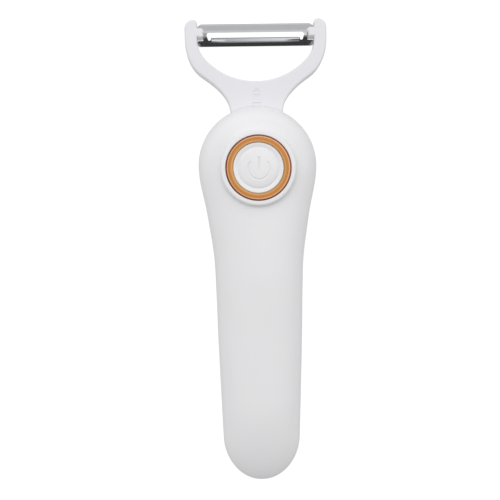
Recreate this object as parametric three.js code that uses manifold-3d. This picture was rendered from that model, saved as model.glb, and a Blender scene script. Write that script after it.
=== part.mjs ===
// Electric potato peeler, in millimetres. It lies on its back: +Z points up through the power
// button, +Y runs from the lower end of the handle to the blade, and X = 0 is its plane of
// symmetry. Places along Y are counted from the lower end of the handle, and heights from the
// plane that it rests on.

import Module from "manifold-3d";
import * as THREE from "three";
import { mergeVertices } from "three/addons/utils/BufferGeometryUtils.js";

const wasm = await Module();
wasm.setup();

// Fits
const fit = 0.3;
const runningGap = 0.15;
const seam = 0.3;
const overrun = 2;

// Battery cells, side by side
const cellRadius = 7.2;
const cellLength = 50.5;
const cellRim = 0.5;
const nubRadius = 2.7;
const nubHeight = 1.2;
const cellX = cellRadius + fit / 2;
const packHalfWidth = cellX + cellRadius;

// Contacts at the ends of the cells
const plateThickness = 0.4;
const plateHalfWidth = 4.6;
const plateCorner = 1.2;
const tabHalfWidth = 1.2;
const tabProud = 1.4;
const springLength = 5.6;
const springBaseRadius = 3.9;
const springTipRadius = 2.5;
const springWireRadius = 0.35;
const springTurns = 4.5;

// Housing wall, and the heights that follow from the cells
const wall = 1.8;
const coverRibHeight = 3.1;
const cellAxisZ = wall + coverRibHeight + fit + cellRadius;
const partingRise = 0.6;
const partingZ = cellAxisZ + partingRise;

// Battery tray, from its lower end up to the seam of the battery cover
const trayStartY = 14;
const keelLength = 12;
const keelRoom = 1.8;
const trayWall = 1.6;
const trayPlate = 1.2;
const trayWallY = trayStartY + keelLength + keelRoom;
const chamberY = trayWallY + trayWall;
const chamberLength = cellLength + springLength + 2 * plateThickness + 5 * fit;
const chamberEndY = chamberY + chamberLength;
const trayEndY = chamberEndY + trayWall;
const trayPlateZ = cellAxisZ + cellRadius + fit;
const trayTopZ = trayPlateZ + trayPlate;
const trayHalfWidth = 12;
const trayWallClear = 1.1;
const trayWallZ = cellAxisZ - cellRadius + trayWallClear;
const cuspRibHalf = 0.5;
const cuspRibDrop = 3.2;
const cradleDrop = 5.6;
const footRise = 2.6;
const footZ = partingZ + footRise;
const footTopZ = footZ + trayPlate;
const trayScrewX = 9.5;
const trayScrewY = trayStartY + keelLength / 2;
const keelWebHalf = 0.8;
const keelFootHalf = 2.2;
const keelFootHeight = 1;
const keelFootRise = 1.1;
const keelFootZ = wall + keelFootRise;
const keelFootTopZ = keelFootZ + keelFootHeight;

// Seam between the battery cover and the rear shell
const seamRoom = 1.6;
const coverSeamY = trayEndY + seamRoom;

// Motor, its shaft, and the weight that shakes the head
const bellRoom = 2;
const bellLength = 3.7;
const bellY = coverSeamY + bellRoom;
const canY = bellY + bellLength + fit;
const canLength = 21;
const canEndY = canY + canLength;
const canRadius = 10;
const canHalfHeight = 7.5;
const bellStep = 0.4;
const hubRadius = 3;
const hubLength = 1.6;
const shaftRadius = 1;
const shaftDepth = 19;
const shaftY = canEndY - shaftDepth;
const motorFloorRoom = 1.7;
const motorAxisZ = wall + motorFloorRoom + canHalfHeight;
const weightRoom = 1.9;
const weightY = canEndY + hubLength + weightRoom;
const weightLength = 8;
const weightEndY = weightY + weightLength;
const weightRadius = 7.6;
const weightHubRadius = 3;
const shaftOverhang = 1.5;
const shaftEndY = weightEndY + shaftOverhang;
const terminalX = 5;
const terminalLength = 1.7;
const terminalHalfHeight = 1.5;
const terminalThickness = 0.4;

// Outline of the housing, seen from the front
const headRoom = 2;
const headCentreY = shaftEndY + headRoom;
const headRadius = 25;
const housingLength = headCentreY + headRadius;
const endRoundLength = 18;
const gripSideRoom = 1.35;
const gripHalfWidth = packHalfWidth + gripSideRoom + wall;
const gripTaper = 2.3;
const gripFlare = 1;
const shoulderHalfWidth = 21.5;
const gripMiddleY = (chamberY + chamberEndY) / 2;
const shoulderY = (coverSeamY + headCentreY) / 2;

// Depth of the housing in front of the parting plane and behind it
const endDepth = 11.4;
const gripDepth = 12.8;
const seamDepth = 14.3;
const headDepth = 14.6;
const restCut = 0.5;
const rearDepth = partingZ + restCut;
const frontEndLength = 34;
const rearEndLength = 16;
const topRoundLength = 17;
const frontSquareness = 2.5;
const rearSquareness = 3;
const endRings = 5;
const gripRings = 7;
const headRings = 6;
const ringPoints = 24;

// Step joint between the front shell and the two rear pieces
const lipDepth = 1.2;
const lipThickness = 0.75;
const lipGap = 0.25;
const lipInset = wall - lipThickness;
const rebateInset = lipInset - lipGap;
const postRadius = 3.2;

// Screws
const screwShankRadius = 1.3;
const screwHeadRadius = 2.4;
const screwHeadHeight = 2;
const smallShankRadius = 0.9;
const smallHeadRadius = 1.9;
const smallHeadHeight = 1.4;
const slotWidth = 0.6;
const slotDepth = 0.7;

// Screw posts of the housing
const screwSeatZ = 7;
const shellShankLength = 12.5;
const lowerPostRoom = 3;
const lowerPostY = canY + lowerPostRoom;
const headPostAngle = THREE.MathUtils.degToRad(34);
const headPostReach = headRadius - wall - fit - postRadius;
const headPostX = headPostReach * Math.cos(headPostAngle);
const headPostY = headCentreY + headPostReach * Math.sin(headPostAngle);
const smallPostRadius = 2.3;
const trayShankLength = 4.2;
const boardShankLength = 5.2;

// Power button with its bezel and ring
const buttonDrop = 2;
const buttonY = headCentreY - buttonDrop;
const buttonRadius = 10.15;
const ringWidth = 3.05;
const ringHeight = 1.8;
const ringEdge = 0.4;
const bezelWidth = 1.8;
const bezelRound = 0.9;
const bezelProud = 2.6;
const bezelDepth = 5.6;
const ringProud = 0.2;
const ringInnerRadius = buttonRadius + fit;
const ringOuterRadius = ringInnerRadius + ringWidth;
const ringSeatRadius = ringOuterRadius + fit;
const bezelRadius = ringSeatRadius + bezelWidth;
const bezelTopZ = partingZ + headDepth + bezelProud;
const ringTopZ = bezelTopZ + ringProud;
const ringZ = ringTopZ - ringHeight;
const ledgeTopZ = ringZ - fit;
const ledgeThickness = 2;
const ledgeZ = ledgeTopZ - ledgeThickness;
const flangeThickness = 1.2;
const flangeWidth = 1.45;
const flangeTopZ = ledgeZ - fit;
const flangeZ = flangeTopZ - flangeThickness;
const flangeRadius = buttonRadius + flangeWidth;
const flangeBoreRadius = flangeRadius + fit;
const domeRadius = 8.4;
const domeHeight = 1.2;
const valleyDrop = 0.6;
const valleyWidth = 0.35;
const rimRound = 0.4;
const capWall = 1.15;
const stemRadius = 2.6;
const stemRise = 0.4;
const stemZ = flangeTopZ + stemRise;

// Switch and circuit board under the button
const switchHalf = 3.5;
const switchHeight = 3.5;
const switchBoreDepth = 2.6;
const plungerRadius = 1.75;
const plungerProud = 1.3;
const plungerLength = 2.2;
const plungerTopZ = stemZ - fit;
const switchTopZ = plungerTopZ - plungerProud;
const switchZ = switchTopZ - switchHeight;
const boardThickness = 1.2;
const boardHalfWidth = 17;
const boardRoom = 1.8;
const boardHalfLength = headPostY - postRadius - boardRoom - buttonY;
const boardCorner = 2;
const boardScrewX = 14.5;
const boardTopZ = switchZ - fit;
const boardZ = boardTopZ - boardThickness;

// Socket in the head of the housing, and the tongue that it holds
const mouthRoom = 7;
const socketLength = 12.5;
const socketEndY = housingLength - mouthRoom;
const socketY = socketEndY - socketLength;
const socketSideRoom = 3.1;
const socketHalfWidth = headPostX - postRadius - socketSideRoom;
const socketSideWall = 3;
const socketHalfHeight = 5.2;
const socketFloor = 1.7;
const socketCorner = 1.2;
const tongueHalfWidth = socketHalfWidth - socketSideWall;
const tongueHalfHeight = 2.75;
const tongueChamfer = 1;
const tongueY = socketY + socketFloor + fit;
const mouthWall = 2;

// Yoke, seen from the front
const neckY = socketEndY + fit;
const neckHalfWidth = 11.1;
const neckHalfHeight = 3.5;
const neckLength = 4.2;
const flareY = neckY + neckLength;
const flareTurnX = 22.4;
const flareTurnRise = 15;
const flareTurnY = flareY + flareTurnRise;
const flareAngle = THREE.MathUtils.degToRad(55.7);
const forkRise = 13.15;
const forkBottomY = flareY + forkRise;
const forkRadius = 29.2;
const forkFillet = 12;
const armInnerX = 24.65;
const armWidth = 5.3;
const armOuterX = armInnerX + armWidth;
const bladeRise = 20.25;
const bladeY = forkBottomY + bladeRise;
const armOverhang = 5.9;
const armEndY = bladeY + armOverhang;
const armInnerCorner = 1.7;
const armOuterCorner = armWidth - armInnerCorner;
const armHalfHeight = 4.7;
const yokeBevel = 1;

// Stubs that carry the blade
const stubLength = 2.7;
const stubHalfWidth = 1.65;
const stubCorner = 0.8;
const stubBoreRadius = 1;
const stubSkin = 0.25;
const stubX = armInnerX - stubLength;
const shoulderEndY = bladeY - stubHalfWidth;

// Rubber seal round the neck
const sealRoom = 0.9;
const sealWidth = 1.4;
const sealDepth = 0.8;
const sealProud = 0.12;
const grooveY = neckY + sealRoom;
const grooveEndY = grooveY + sealWidth + 2 * runningGap;

// Blade
const bladeThickness = 0.6;
const bladeHalfWidth = 4.8;
const bladeHalfLength = armInnerX - fit;
const bladeCorner = 1.2;
const ridgeRadius = 5;
const wingAngle = THREE.MathUtils.degToRad(22);
const slotHigh = 1;
const slotLow = 1.1;
const slotHalfLength = 20.8;
const lipHalfLength = 18.65;
const lipRoot = 2.6;
const lipBlend = 0.3;
const reliefX = 20.4;
const reliefLow = 2.3;
const notchHalf = 2.5;
const notchX = stubX - fit;
const pivotHalfWidth = 0.75;
const pivotX = armInnerX - stubSkin - fit;
const edgeThickness = 0.12;

// Ribs and guides inside the shells
const ribThickness = 1.2;
const ribReach = 3;
const motorRibHalf = 13;
const pressRibHalf = 6;
const trayRibHalf = 9;
const railHalf = 0.5;
const railLip = 0.9;
const coverRibHalf = 0.7;
const coverRibInset = 4.6;
const catchInnerX = 3.5;
const catchOuterX = 8.5;
const catchLength = 5;
const catchRoot = 4;
const catchThickness = 1.3;
const grooveCount = 5;
const groovePitch = 3.4;
const grooveRadius = 1.1;
const grooveDepth = 0.6;
const grooveHalfLength = 6;
const grooveRoom = 9;

// Wires
const leadRadius = 0.6;
const leadSides = 8;
const leadStep = 3;
const leadInnerX = 8;
const leadOuterX = 10.2;
const leadSag = 1;

const roundSides = 14;
const boreSides = 8;
const bezelSides = 28;
const curveSteps = 6;
const cornerSteps = 3;
const slotSteps = 4;
const bezelSteps = 3;
const forkSteps = 5;
const domeSteps = 4;
const springSides = 5;
const springSteps = 7;

/** A closed three.js geometry as a solid that can be joined and cut. */
function solidOf(geometry) {
  const bare = new THREE.BufferGeometry();
  bare.setAttribute("position", geometry.getAttribute("position"));
  bare.setIndex(geometry.getIndex());
  const merged = mergeVertices(bare);
  const vertices = new Float32Array(merged.getAttribute("position").array);
  const corners = Array.from(merged.getIndex().array);
  const kept = [];
  for (let i = 0; i < corners.length; i += 3) {
    const [a, b, c] = corners.slice(i, i + 3);
    if (a !== b && b !== c && c !== a) {
      kept.push([a, b, c]);
    }
  }
  const solid = manifoldOf(vertices, kept.flat());
  return solid.volume() > 0 ? solid : manifoldOf(vertices, kept.flatMap(([a, b, c]) => [c, b, a]));
}

function manifoldOf(vertProperties, corners) {
  const triVerts = new Uint32Array(corners);
  return new wasm.Manifold(new wasm.Mesh({ numProp: 3, vertProperties, triVerts }));
}

/** The surface of a solid as a three.js geometry. */
function geometryOf(solid) {
  const mesh = solid.getMesh();
  const geometry = new THREE.BufferGeometry();
  geometry.setAttribute("position", new THREE.Float32BufferAttribute(mesh.vertProperties, 3));
  geometry.setIndex(Array.from(mesh.triVerts));
  geometry.computeVertexNormals();
  return geometry;
}

function join(solids) {
  return solids.reduce((joined, solid) => joined.add(solid));
}

function cut(solid, tools) {
  return tools.reduce((rest, tool) => rest.subtract(tool), solid);
}

/** Box between two places on each axis. */
function block(lowX, highX, lowY, highY, lowZ, highZ) {
  const geometry = new THREE.BoxGeometry(highX - lowX, highY - lowY, highZ - lowZ);
  geometry.translate((lowX + highX) / 2, (lowY + highY) / 2, (lowZ + highZ) / 2);
  return solidOf(geometry);
}

/** Box that lies evenly across the plane of symmetry. */
function slab(halfWidth, lowY, highY, lowZ, highZ) {
  return block(-halfWidth, halfWidth, lowY, highY, lowZ, highZ);
}

/** Round bar along Z. */
function pillar(radius, x, y, lowZ, highZ, sides = roundSides) {
  const geometry = new THREE.CylinderGeometry(radius, radius, highZ - lowZ, sides);
  geometry.rotateX(Math.PI / 2);
  geometry.translate(x, y, (lowZ + highZ) / 2);
  return solidOf(geometry);
}

/** Round bar along Y. */
function rod(radius, x, z, lowY, highY, sides = roundSides) {
  const geometry = new THREE.CylinderGeometry(radius, radius, highY - lowY, sides);
  geometry.translate(x, (lowY + highY) / 2, z);
  return solidOf(geometry);
}

/** Round bar along X. */
function crossBar(radius, y, z, lowX, highX, sides = boreSides) {
  const geometry = new THREE.CylinderGeometry(radius, radius, highX - lowX, sides);
  geometry.rotateZ(Math.PI / 2);
  geometry.translate((lowX + highX) / 2, y, z);
  return solidOf(geometry);
}

/** Profile of [radius, height] points turned about the Z axis. */
function turned(profile, sides = roundSides) {
  const points = profile.map(([radius, height]) => new THREE.Vector2(radius, height));
  const geometry = new THREE.LatheGeometry(points, sides);
  geometry.rotateX(Math.PI / 2);
  return solidOf(geometry);
}

/** Shape in X and Y, raised from one height to another. */
function raised(shape, lowZ, highZ, curveSegments = curveSteps) {
  const depth = highZ - lowZ;
  const geometry = new THREE.ExtrudeGeometry(shape, { depth, curveSegments, bevelEnabled: false });
  geometry.translate(0, 0, lowZ);
  return solidOf(geometry);
}

/** Shape in X and Z, drawn out along Y from one station to another. */
function drawnAlongY(shape, lowY, highY, curveSegments = curveSteps) {
  const depth = highY - lowY;
  const geometry = new THREE.ExtrudeGeometry(shape, { depth, curveSegments, bevelEnabled: false });
  geometry.rotateX(Math.PI / 2);
  geometry.translate(0, highY, 0);
  return solidOf(geometry);
}

/** Shape in Y and Z, drawn out evenly along X on both sides of the plane of symmetry. */
function drawnAlongX(shape, halfLength, curveSegments = curveSteps) {
  const depth = 2 * halfLength;
  const geometry = new THREE.ExtrudeGeometry(shape, { depth, curveSegments, bevelEnabled: false });
  const axes = new THREE.Matrix4();
  axes.makeBasis(new THREE.Vector3(0, 1, 0), new THREE.Vector3(0, 0, 1), new THREE.Vector3(1, 0, 0));
  geometry.applyMatrix4(axes);
  geometry.translate(-halfLength, 0, 0);
  return solidOf(geometry);
}

/** Rectangle with round corners, about a point of its plane. */
function roundedRectangle(halfWidth, halfHeight, corner, x = 0, y = 0) {
  const shape = new THREE.Shape();
  const innerX = halfWidth - corner;
  const innerY = halfHeight - corner;
  shape.absarc(x + innerX, y + innerY, corner, 0, Math.PI / 2);
  shape.absarc(x - innerX, y + innerY, corner, Math.PI / 2, Math.PI);
  shape.absarc(x - innerX, y - innerY, corner, Math.PI, 1.5 * Math.PI);
  shape.absarc(x + innerX, y - innerY, corner, 1.5 * Math.PI, 2 * Math.PI);
  shape.closePath();
  return shape;
}

/** A curve through [place, value] points that runs smoothly and never overshoots them. */
function smoothCurve(points) {
  const last = points.length - 1;
  const rise = (i) => (points[i + 1][1] - points[i][1]) / (points[i + 1][0] - points[i][0]);
  const slope = (i) => {
    if (i === 0) {
      return rise(0);
    }
    if (i === last || rise(i - 1) * rise(i) <= 0) {
      return 0;
    }
    return (2 * rise(i - 1) * rise(i)) / (rise(i - 1) + rise(i));
  };
  return (place) => {
    const after = points.findIndex(([end]) => end >= place);
    const i = after < 0 ? last - 1 : Math.max(0, after - 1);
    const span = points[i + 1][0] - points[i][0];
    const done = THREE.MathUtils.clamp((place - points[i][0]) / span, 0, 1);
    const left = 1 - done;
    const low = left ** 2 * ((1 + 2 * done) * points[i][1] + done * span * slope(i));
    const high = done ** 2 * ((1 + 2 * left) * points[i + 1][1] - left * span * slope(i + 1));
    return low + high;
  };
}

/** Share of the full size at a distance from a rounded end of some length. */
function roundOff(distance, length, squareness) {
  const missing = Math.max(0, 1 - distance / length);
  return (1 - missing ** squareness) ** (1 / squareness);
}

const gripOutline = smoothCurve([
  [0, gripHalfWidth - gripTaper],
  [gripMiddleY, gripHalfWidth],
  [coverSeamY, gripHalfWidth + gripFlare],
  [shoulderY, shoulderHalfWidth],
  [headCentreY, headRadius],
]);

const frontProfile = smoothCurve([
  [0, endDepth],
  [gripMiddleY, gripDepth],
  [coverSeamY, seamDepth],
  [headCentreY, headDepth],
]);

function housingHalfWidth(y) {
  if (y > headCentreY) {
    return Math.sqrt(headRadius ** 2 - (y - headCentreY) ** 2);
  }
  return gripOutline(y) * roundOff(y, endRoundLength, 2);
}

function topRoundAt(y) {
  return roundOff(housingLength - y, topRoundLength, frontSquareness);
}

function housingFrontDepth(y) {
  return frontProfile(y) * roundOff(y, frontEndLength, 2) * topRoundAt(y);
}

function housingRearDepth(y) {
  return rearDepth * roundOff(y, rearEndLength, 2) * topRoundAt(y);
}

/** Stations of the housing's sections: close together at both ends, even along the grip. */
function housingStations() {
  const places = [];
  for (let i = 1; i <= endRings; i += 1) {
    places.push(endRoundLength * (1 - Math.cos(((i / endRings) * Math.PI) / 2)));
  }
  for (let i = 1; i <= gripRings; i += 1) {
    places.push(THREE.MathUtils.lerp(endRoundLength, headCentreY, i / gripRings));
  }
  for (let i = 1; i < headRings; i += 1) {
    places.push(headCentreY + headRadius * Math.sin(((i / headRings) * Math.PI) / 2));
  }
  return places;
}

/** One section of the housing: a squared oval, deeper in front than behind. */
function housingSection(y) {
  const points = [];
  for (let i = 0; i < ringPoints; i += 1) {
    const angle = (2 * Math.PI * i) / ringPoints;
    const across = Math.cos(angle);
    const up = Math.sin(angle);
    const power = 2 / (up > 0 ? frontSquareness : rearSquareness);
    const depth = up > 0 ? housingFrontDepth(y) : housingRearDepth(y);
    const x = housingHalfWidth(y) * Math.sign(across) * Math.abs(across) ** power;
    points.push(x, y, partingZ + depth * Math.sign(up) * Math.abs(up) ** power);
  }
  return points;
}

/** The housing's rounded form, lofted through its sections and drawn in along its normals. */
function housingBody(inset) {
  const stations = housingStations();
  const positions = stations.flatMap(housingSection);
  const lowPole = stations.length * ringPoints;
  const topRing = lowPole - ringPoints;
  positions.push(0, 0, partingZ, 0, housingLength, partingZ);
  const index = [];
  for (let j = 0; j < ringPoints; j += 1) {
    const next = (j + 1) % ringPoints;
    for (let near = 0; near < topRing; near += ringPoints) {
      const far = near + ringPoints;
      index.push(near + j, far + j, near + next, near + next, far + j, far + next);
    }
    index.push(lowPole, j, next, lowPole + 1, topRing + next, topRing + j);
  }
  const geometry = new THREE.BufferGeometry();
  geometry.setAttribute("position", new THREE.Float32BufferAttribute(positions, 3));
  geometry.setIndex(index);
  geometry.computeVertexNormals();
  const place = geometry.getAttribute("position");
  const moved = new THREE.Vector3();
  const outward = new THREE.Vector3();
  for (let i = 0; i < place.count; i += 1) {
    outward.fromBufferAttribute(geometry.getAttribute("normal"), i);
    moved.fromBufferAttribute(place, i).addScaledVector(outward, -inset);
    place.setXYZ(i, moved.x, moved.y, moved.z);
  }
  return solidOf(geometry);
}

/** Everything in the housing's reach between two stations and two heights. */
function region(lowY, highY, lowZ, highZ) {
  return slab(2 * headRadius, lowY, highY, lowZ, highZ);
}

const lowEdge = -overrun;
const farEndY = housingLength + overrun;
const farTopZ = bezelTopZ + overrun;

const outerBody = housingBody(0).intersect(region(lowEdge, farEndY, 0, farTopZ));
const innerBody = housingBody(wall).intersect(region(lowEdge, farEndY, wall, farTopZ));
const wallBody = outerBody.subtract(innerBody);
const seatedBody = housingBody(wall + fit);

/** Outline of the motor in X and Z: a circle with two flats. */
function motorOutline(gap) {
  const radius = canRadius + gap;
  const halfHeight = canHalfHeight + gap;
  const start = Math.asin(halfHeight / radius);
  const shape = new THREE.Shape();
  shape.absarc(0, motorAxisZ, radius, -start, start);
  shape.absarc(0, motorAxisZ, radius, Math.PI - start, Math.PI + start);
  shape.closePath();
  return shape;
}

function motorSpace(gap) {
  return drawnAlongY(motorOutline(gap), bellY - gap, canEndY + gap);
}

function socketSpace(gap) {
  const shape = roundedRectangle(socketHalfWidth + gap, socketHalfHeight + gap, socketCorner, 0, partingZ);
  return drawnAlongY(shape, socketY - gap, socketEndY + gap, cornerSteps);
}

/** Opening of the housing that the yoke's neck passes through. */
function mouthBore() {
  const height = neckHalfHeight + fit;
  return slab(neckHalfWidth + fit, socketEndY, farEndY, partingZ - height, partingZ + height);
}

/** Thick wall round the neck's opening. */
function mouthCollar() {
  const height = neckHalfHeight + fit + mouthWall;
  const halfWidth = neckHalfWidth + fit + mouthWall;
  return slab(halfWidth, neckY, farEndY, partingZ - height, partingZ + height).intersect(outerBody);
}

/** Centres of the four posts that hold the shells together, as [name, x, y]. */
function shellPosts() {
  const lowerX = housingHalfWidth(lowerPostY) - wall - fit - postRadius;
  return [
    ["lower_left", -lowerX, lowerPostY],
    ["lower_right", lowerX, lowerPostY],
    ["upper_left", -headPostX, headPostY],
    ["upper_right", headPostX, headPostY],
  ];
}

/** Cross plate of a shell, one rib thick, above the given station. */
function crossRib(halfWidth, y, lowZ, highZ) {
  return slab(halfWidth, y, y + ribThickness, lowZ, highZ).intersect(outerBody);
}

/** Stations of the ribs that hold the motor, and of those that hold the socket. */
function motorRibStations() {
  return [canY + ribReach, canEndY - ribReach - ribThickness];
}

function socketRibStations() {
  return [socketY + ribReach, socketEndY - ribReach - ribThickness];
}

/** Raised bezel round the button, with the ring's seat and the ledge that keeps the button in. */
function buttonBezel() {
  const rootZ = bezelTopZ - bezelDepth;
  const profile = [
    [flangeBoreRadius, rootZ],
    [bezelRadius, rootZ],
    [bezelRadius, bezelTopZ - bezelRound],
  ];
  for (let i = 1; i <= bezelSteps; i += 1) {
    const angle = (i / bezelSteps) * (Math.PI / 2);
    const radius = bezelRadius - bezelRound * (1 - Math.cos(angle));
    profile.push([radius, bezelTopZ - bezelRound * (1 - Math.sin(angle))]);
  }
  profile.push(
    [ringSeatRadius, bezelTopZ],
    [ringSeatRadius, ledgeTopZ],
    [ringInnerRadius, ledgeTopZ],
    [ringInnerRadius, ledgeZ],
    [flangeBoreRadius, ledgeZ],
    [flangeBoreRadius, rootZ],
  );
  return turned(profile, bezelSides).translate(0, buttonY, 0);
}

/** Front half of the housing: wall, lip, bezel, screw posts and ribs. */
function frontShell() {
  const splitZ = partingZ + seam / 2;
  const frontRegion = region(lowEdge, farEndY, splitZ, farTopZ);
  const frontWall = join([wallBody, mouthCollar()]).intersect(frontRegion);
  const buttonHole = pillar(flangeBoreRadius, 0, buttonY, partingZ, farTopZ, bezelSides);
  const plain = join([frontWall, frontLip(), ...frontPosts(), ...frontRibs()]);
  const shell = plain.subtract(buttonHole).add(buttonBezel());
  return cut(shell, [mouthBore(), ...frontPilotBores()]);
}

/** Inner half of the wall, carried past the parting plane into the rear pieces. */
function frontLip() {
  const band = region(lowEdge, farEndY, partingZ - lipDepth, partingZ + seam);
  const lip = housingBody(lipInset).subtract(innerBody).intersect(band);
  const height = neckHalfHeight + fit + mouthWall;
  const halfWidth = neckHalfWidth + 2 * fit + mouthWall;
  return lip.subtract(slab(halfWidth, socketEndY, farEndY, partingZ - height, partingZ + height));
}

function frontPosts() {
  const posts = shellPosts().map(([, x, y]) => pillar(postRadius, x, y, partingZ + seam / 2, farTopZ));
  for (const side of [-1, 1]) {
    posts.push(pillar(smallPostRadius, side * boardScrewX, buttonY, boardTopZ + fit, farTopZ));
    posts.push(pillar(smallPostRadius, side * trayScrewX, trayScrewY, footTopZ + fit, farTopZ));
  }
  return posts.map((post) => post.intersect(outerBody));
}

function frontPilotBores() {
  const shankTopZ = screwSeatZ - fit + shellShankLength + fit;
  const radius = screwShankRadius + runningGap;
  const bores = shellPosts().map(([, x, y]) => pillar(radius, x, y, partingZ, shankTopZ, boreSides));
  const smallRadius = smallShankRadius + runningGap;
  for (const side of [-1, 1]) {
    const boardEndZ = boardZ - fit + boardShankLength + fit;
    bores.push(pillar(smallRadius, side * boardScrewX, buttonY, boardTopZ, boardEndZ, boreSides));
    const trayEndZ = footZ - fit + trayShankLength + fit;
    bores.push(pillar(smallRadius, side * trayScrewX, trayScrewY, footTopZ, trayEndZ, boreSides));
  }
  return bores;
}

/** Ribs in the front shell that press on the motor, the socket and the battery tray. */
function frontRibs() {
  const motorTopZ = motorAxisZ + canHalfHeight + fit;
  const motorRibs = motorRibStations().map((y) => crossRib(pressRibHalf, y, motorTopZ, farTopZ));
  const [, socketRibY] = socketRibStations();
  const socketRib = crossRib(socketHalfWidth, socketRibY, partingZ + ribReach, farTopZ);
  const trayRibs = [chamberY + cellRadius, gripMiddleY, chamberEndY - cellRadius].map((y) =>
    crossRib(trayRibHalf, y, trayTopZ + fit, farTopZ),
  );
  return [...motorRibs, socketRib.subtract(socketSpace(fit)), ...trayRibs];
}

function cutEach(solids, tool) {
  return solids.map((solid) => solid.subtract(tool));
}

/** Wall of the rear pieces, with its rebate for the front shell's lip. */
function rearWall() {
  const band = region(lowEdge, farEndY, partingZ - lipDepth - fit, farTopZ);
  const rebate = housingBody(rebateInset).intersect(band);
  const rearRegion = region(lowEdge, farEndY, 0, partingZ - seam / 2);
  const walls = join([wallBody.subtract(rebate), mouthCollar()]).intersect(rearRegion);
  return walls.subtract(mouthBore());
}

/** Back of the round head: wall, screw posts, motor cradle and socket cradle. */
function rearShell() {
  const topZ = partingZ - seam / 2;
  const walls = rearWall().intersect(region(coverSeamY + seam / 2, farEndY, 0, farTopZ));
  const motorRibs = motorRibStations().map((y) => crossRib(motorRibHalf, y, wall / 2, topZ - fit));
  const socketHalf = socketHalfWidth + ribThickness;
  const socketRibs = socketRibStations().map((y) => crossRib(socketHalf, y, wall / 2, partingZ - ribReach));
  const stopY = socketY - fit - ribThickness;
  const stop = crossRib(tongueHalfWidth, stopY, wall / 2, partingZ);
  const cradles = [...cutEach(motorRibs, motorSpace(fit)), ...cutEach(socketRibs, socketSpace(fit)), stop];
  const posts = shellPosts().map(([, x, y]) => pillar(postRadius, x, y, 0, topZ).intersect(outerBody));
  return cut(join([walls, ...cradles, ...posts]), shellPosts().flatMap(screwHole));
}

/** Counterbored hole for a screw that comes in from behind. */
function screwHole([, x, y]) {
  const head = pillar(screwHeadRadius + fit, x, y, -overrun, screwSeatZ);
  const shank = pillar(screwShankRadius + fit, x, y, 0, partingZ, boreSides);
  return [head, shank];
}

/** Sliding cover of the battery compartment, with its guides inside and its grip outside. */
function batteryCover() {
  const endY = coverSeamY - seam / 2;
  const walls = rearWall().intersect(region(lowEdge, endY, 0, farTopZ));
  const ribs = [];
  for (const side of [-1, 1]) {
    ribs.push(coverRail(side), coverCatch(side), coverRib(side));
  }
  const grooves = [];
  for (let i = 0; i < grooveCount; i += 1) {
    const y = coverSeamY - grooveRoom - i * groovePitch;
    const z = grooveDepth - grooveRadius;
    grooves.push(crossBar(grooveRadius, y, z, -grooveHalfLength, grooveHalfLength));
  }
  return cut(join([walls, ...ribs]), grooves);
}

/** L-shaped rail that hooks over one side of the tray's keel. */
function coverRail(side) {
  const innerX = keelFootHalf + fit;
  const outerX = innerX + 2 * railHalf;
  const lipX = keelWebHalf + fit;
  const lipZ = keelFootTopZ + fit;
  const railEndY = trayStartY + keelLength;
  const rail = sideBlock(side, innerX, outerX, trayStartY, railEndY, wall / 2, lipZ + railLip);
  const lip = sideBlock(side, lipX, outerX, trayStartY, railEndY, lipZ, lipZ + railLip);
  return rail.add(lip);
}

/** Box at some distance from the plane of symmetry, on one side of it. */
function sideBlock(side, innerX, outerX, lowY, highY, lowZ, highZ) {
  const [lowX, highX] = side > 0 ? [innerX, outerX] : [-outerX, -innerX];
  return block(lowX, highX, lowY, highY, lowZ, highZ);
}

/** Tongue that reaches over the floor of the rear shell. */
function coverCatch(side) {
  const lowZ = wall + fit;
  const highZ = lowZ + catchThickness;
  const endY = coverSeamY - seam / 2;
  const rootY = endY - catchRoot;
  const root = sideBlock(side, catchInnerX, catchOuterX, rootY, endY, wall / 2, highZ);
  return root.add(sideBlock(side, catchInnerX, catchOuterX, rootY, endY + catchLength, lowZ, highZ));
}

/** Long rib that bears a cell. */
function coverRib(side) {
  const lowX = cellX - coverRibHalf;
  const highX = cellX + coverRibHalf;
  const lowY = chamberY + coverRibInset;
  const highY = chamberEndY - coverRibInset;
  return sideBlock(side, lowX, highX, lowY, highY, wall / 2, wall + coverRibHeight);
}

/** Frame that holds the cells and contacts, screwed to the front shell at its lower end. */
function batteryTray() {
  const plate = slab(trayHalfWidth, trayWallY, trayEndY, trayPlateZ, trayTopZ);
  const lowWall = slab(packHalfWidth, trayWallY, chamberY, trayWallZ, trayTopZ);
  const highWall = slab(packHalfWidth, chamberEndY, trayEndY, trayWallZ, trayTopZ);
  const cuspY = chamberY + 2 * fit + plateThickness;
  const cusp = slab(cuspRibHalf, cuspY, chamberEndY, trayPlateZ - cuspRibDrop, trayPlateZ);
  const foot = slab(trayHalfWidth, trayStartY, trayWallY + trayWall / 2, footZ, footTopZ);
  const keelEndY = trayStartY + keelLength;
  const keelWeb = slab(keelWebHalf, trayStartY, keelEndY, keelFootZ, footZ + trayPlate / 2);
  const keelFoot = slab(keelFootHalf, trayStartY, keelEndY, keelFootZ, keelFootTopZ);
  const cradles = [trayCradle(1 / 3), trayCradle(2 / 3)];
  const tray = join([plate, lowWall, highWall, cusp, foot, keelWeb, keelFoot, ...cradles]);
  const holes = [];
  for (const side of [-1, 1]) {
    holes.push(pillar(smallShankRadius + fit, side * trayScrewX, trayScrewY, partingZ, farTopZ, boreSides));
    holes.push(rod(cellRadius + fit, side * cellX, cellAxisZ, chamberY, chamberEndY));
    const slotX = tabHalfWidth + fit;
    const slotY = chamberEndY - plateThickness - 2 * fit;
    const centre = side * cellX;
    holes.push(block(centre - slotX, centre + slotX, slotY, chamberEndY, cellAxisZ, farTopZ));
  }
  return cut(tray.intersect(seatedBody), holes);
}

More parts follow.
